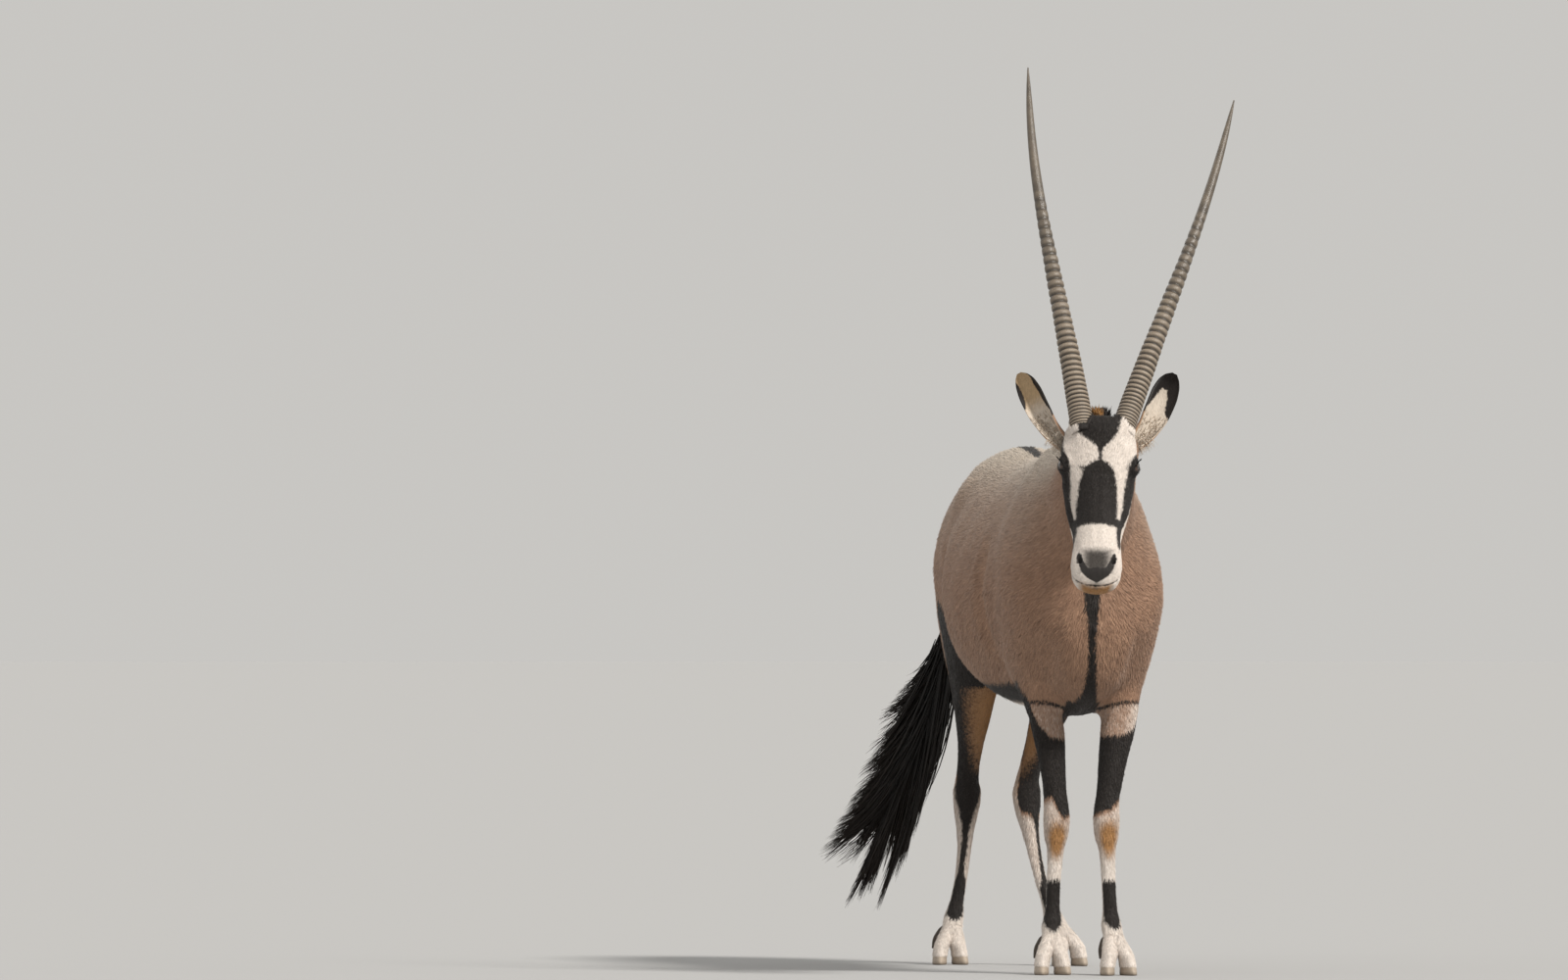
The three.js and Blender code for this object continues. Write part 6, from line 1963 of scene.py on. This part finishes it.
class GEMSBOK_OT_coat(bpy.types.Operator):
    """The short coat, as tufts in one piece for each part of the body"""
    bl_idname = "gemsbok.coat"
    bl_label = "Coat"

    def execute(self, context):
        material = hair_material("short_guard_hair", hexes(context), coat=True)
        middles, _, _, _ = skin_normals()
        regions = region_of()
        left, fore, all_of = middles[:, 0] > 0, middles[:, 1] < 100, np.full(len(middles), True)
        parts = [("coat_trunk_left", "trunk", left), ("coat_trunk_right", "trunk", ~left),
                 ("coat_neck", "neck", all_of), ("coat_forelegs", "leg", fore), ("coat_hindlegs", "leg", ~fore),
                 ("coat_feet", "foot", all_of), ("coat_face", "face", all_of)]
        for number, (name, kind, chosen) in enumerate(parts):
            spacing, length, width, thick = TUFTS[kind]
            rng = np.random.default_rng(100 + number)
            roots, normals = tuft_roots((regions == kind) & chosen, spacing, rng)
            size = rng.uniform(0.7, 1.25, len(roots))
            if kind in ("face", "foot"):
                keep = ~near_opening(roots) if kind == "face" else skin_distance(roots) > -3
                roots, normals, size = roots[keep], normals[keep], size[keep]
            n = len(roots)
            size *= growth(kind, roots)
            lift = LIFT * (1.4 if kind in ("face", "foot") else 1)
            points, faces = tufts(roots, normals, hair_way(roots), length * size, width * size ** 0.5,
                                  np.full(n, thick), lift, rng)
            marks = mark_attributes(roots)
            marks["tone"] = np.clip(rng.normal(0.5, 0.22, n), 0, 1)
            attributes = {key: np.repeat(values, 4) for key, values in marks.items()}
            chart = unwrap("leg" if kind == "foot" else kind, roots)
            piece(name, points, faces, material, "coat", attributes=attributes, uv=tuft_patches(chart),
                  smooth_faces=False)
        hair = horn_collar()
        marks = mark_attributes(hair[0])
        marks["tone"] = np.random.default_rng(8).random(len(hair[0]))
        hair_piece("coat_horn_feet", material, "coat", hair, 4, unwrap("face", hair[0]), marks)
        return {"FINISHED"}


class GEMSBOK_OT_tail(bpy.types.Operator):
    """The tail's dock with its short hair, and the long hair"""
    bl_idname = "gemsbok.tail"
    bl_label = "Tail"

    def execute(self, context):
        colours = hexes(context)
        material = long_hair_material("coarse_tail_hair", colours["tail_root"], colours["tail_tip"])
        points, triangles = strap_surface(*DOCK, STRAP_FLAT, rows=60, sides=36)
        piece("tail_root", points, triangles, material, "dark", ["tail_dock"],
              attributes={"along": np.zeros(len(points)), "tone": np.full(len(points), 0.5)})
        long = tail_locks(context.scene.gemsbok_sizes.tail_locks, 5.0, 2.4)
        for name, hair, seed, rings, tall, along, replaced in (
                ("tail_root_hair", dock_hair(2200), 4, 4, 800, lambda share: 0.5 * share, ()),
                ("tail_hair", long, 5, 9, 600, np.square, ["tail_tuft"])):
            chart = np.column_stack([(hair[0][:, 0] + 300) / 400, (hair[0][:, 2] - 350) / tall])
            tone = np.random.default_rng(seed).random(len(hair[0]))
            hair_piece(name, material, "dark", hair, rings, chart, {"along": along, "tone": tone}, replaced)
        return {"FINISHED"}


class GEMSBOK_OT_mane(bpy.types.Operator):
    """The mane along the crest of the neck, and the tan tuft on the poll"""
    bl_idname = "gemsbok.mane"
    bl_label = "Mane"

    def execute(self, context):
        colours, sizes = hexes(context), context.scene.gemsbok_sizes
        material = long_hair_material("stiff_mane_hair", colours["black"], "#3b2c22")
        hair = mane_locks(sizes.mane_locks, sizes.mane_height * 1000, 5.0)
        tone = np.random.default_rng(6).random(len(hair[0]))
        hair_piece("mane_hair", material, "dark", hair, 5, unwrap("neck", hair[0]), {"along": np.square, "tone": tone})
        rng, n = np.random.default_rng(9), 160
        root = head_point(np.column_stack([rng.normal(-6, 4.5, n), rng.normal(14, 3, n), rng.normal(-66, 7, n)]))
        tip = root + rng.normal(0, 1, (n, 3)) * 5 + [-2, 6, 25]
        hair = (root, (root + tip) / 2 + [0, -5, 3], tip, 3.4, 1.6, unit(tip - root)[:, [1, 2, 0]])
        material = long_hair_material("tan_poll_hair", colours["rust"], "#c08a4c")
        hair_piece("poll_tuft", material, "coat", hair, 4, unwrap("face", root), {"along": np.copy, "tone": 0.7})
        return {"FINISHED"}


class GEMSBOK_PT_panel(bpy.types.Panel):
    """Lists the sizes, colours and steps"""
    bl_label = "Gemsbok"
    bl_idname = "GEMSBOK_PT_panel"
    bl_space_type = "VIEW_3D"
    bl_region_type = "UI"
    bl_category = "Gemsbok"

    def draw(self, context):
        column = self.layout.column()
        for group in (context.scene.gemsbok_sizes, context.scene.gemsbok_colours, context.scene.gemsbok_stage):
            for key in group.__annotations__:
                column.prop(group, key)
        for step in STEPS:
            column.operator(step.bl_idname)


STEPS = [GEMSBOK_OT_stage, GEMSBOK_OT_skin, GEMSBOK_OT_horns, GEMSBOK_OT_ears, GEMSBOK_OT_eyes, GEMSBOK_OT_feet,
         GEMSBOK_OT_coat, GEMSBOK_OT_tail, GEMSBOK_OT_mane]
GROUPS = {"gemsbok_colours": GemsbokColours, "gemsbok_sizes": GemsbokSizes, "gemsbok_stage": GemsbokStage}


def register():
    """Registers the classes and hangs the groups on the scene."""
    for made in (*GROUPS.values(), *STEPS, GEMSBOK_PT_panel):
        bpy.utils.register_class(made)
    for name, group in GROUPS.items():
        setattr(bpy.types.Scene, name, bpy.props.PointerProperty(type=group))


def unregister():
    """Takes away what register() added."""
    for name in GROUPS:
        delattr(bpy.types.Scene, name)
    for made in (GEMSBOK_PT_panel, *reversed(STEPS), *reversed(GROUPS.values())):
        bpy.utils.unregister_class(made)


def main():
    """Registers the add-on and makes every piece in order."""
    register()
    for step in STEPS:
        family, name = step.bl_idname.split(".")
        if getattr(getattr(bpy.ops, family), name)() != {"FINISHED"}:
            raise RuntimeError(f"{step.bl_label} could not be made")


if __name__ == "__main__":
    main()
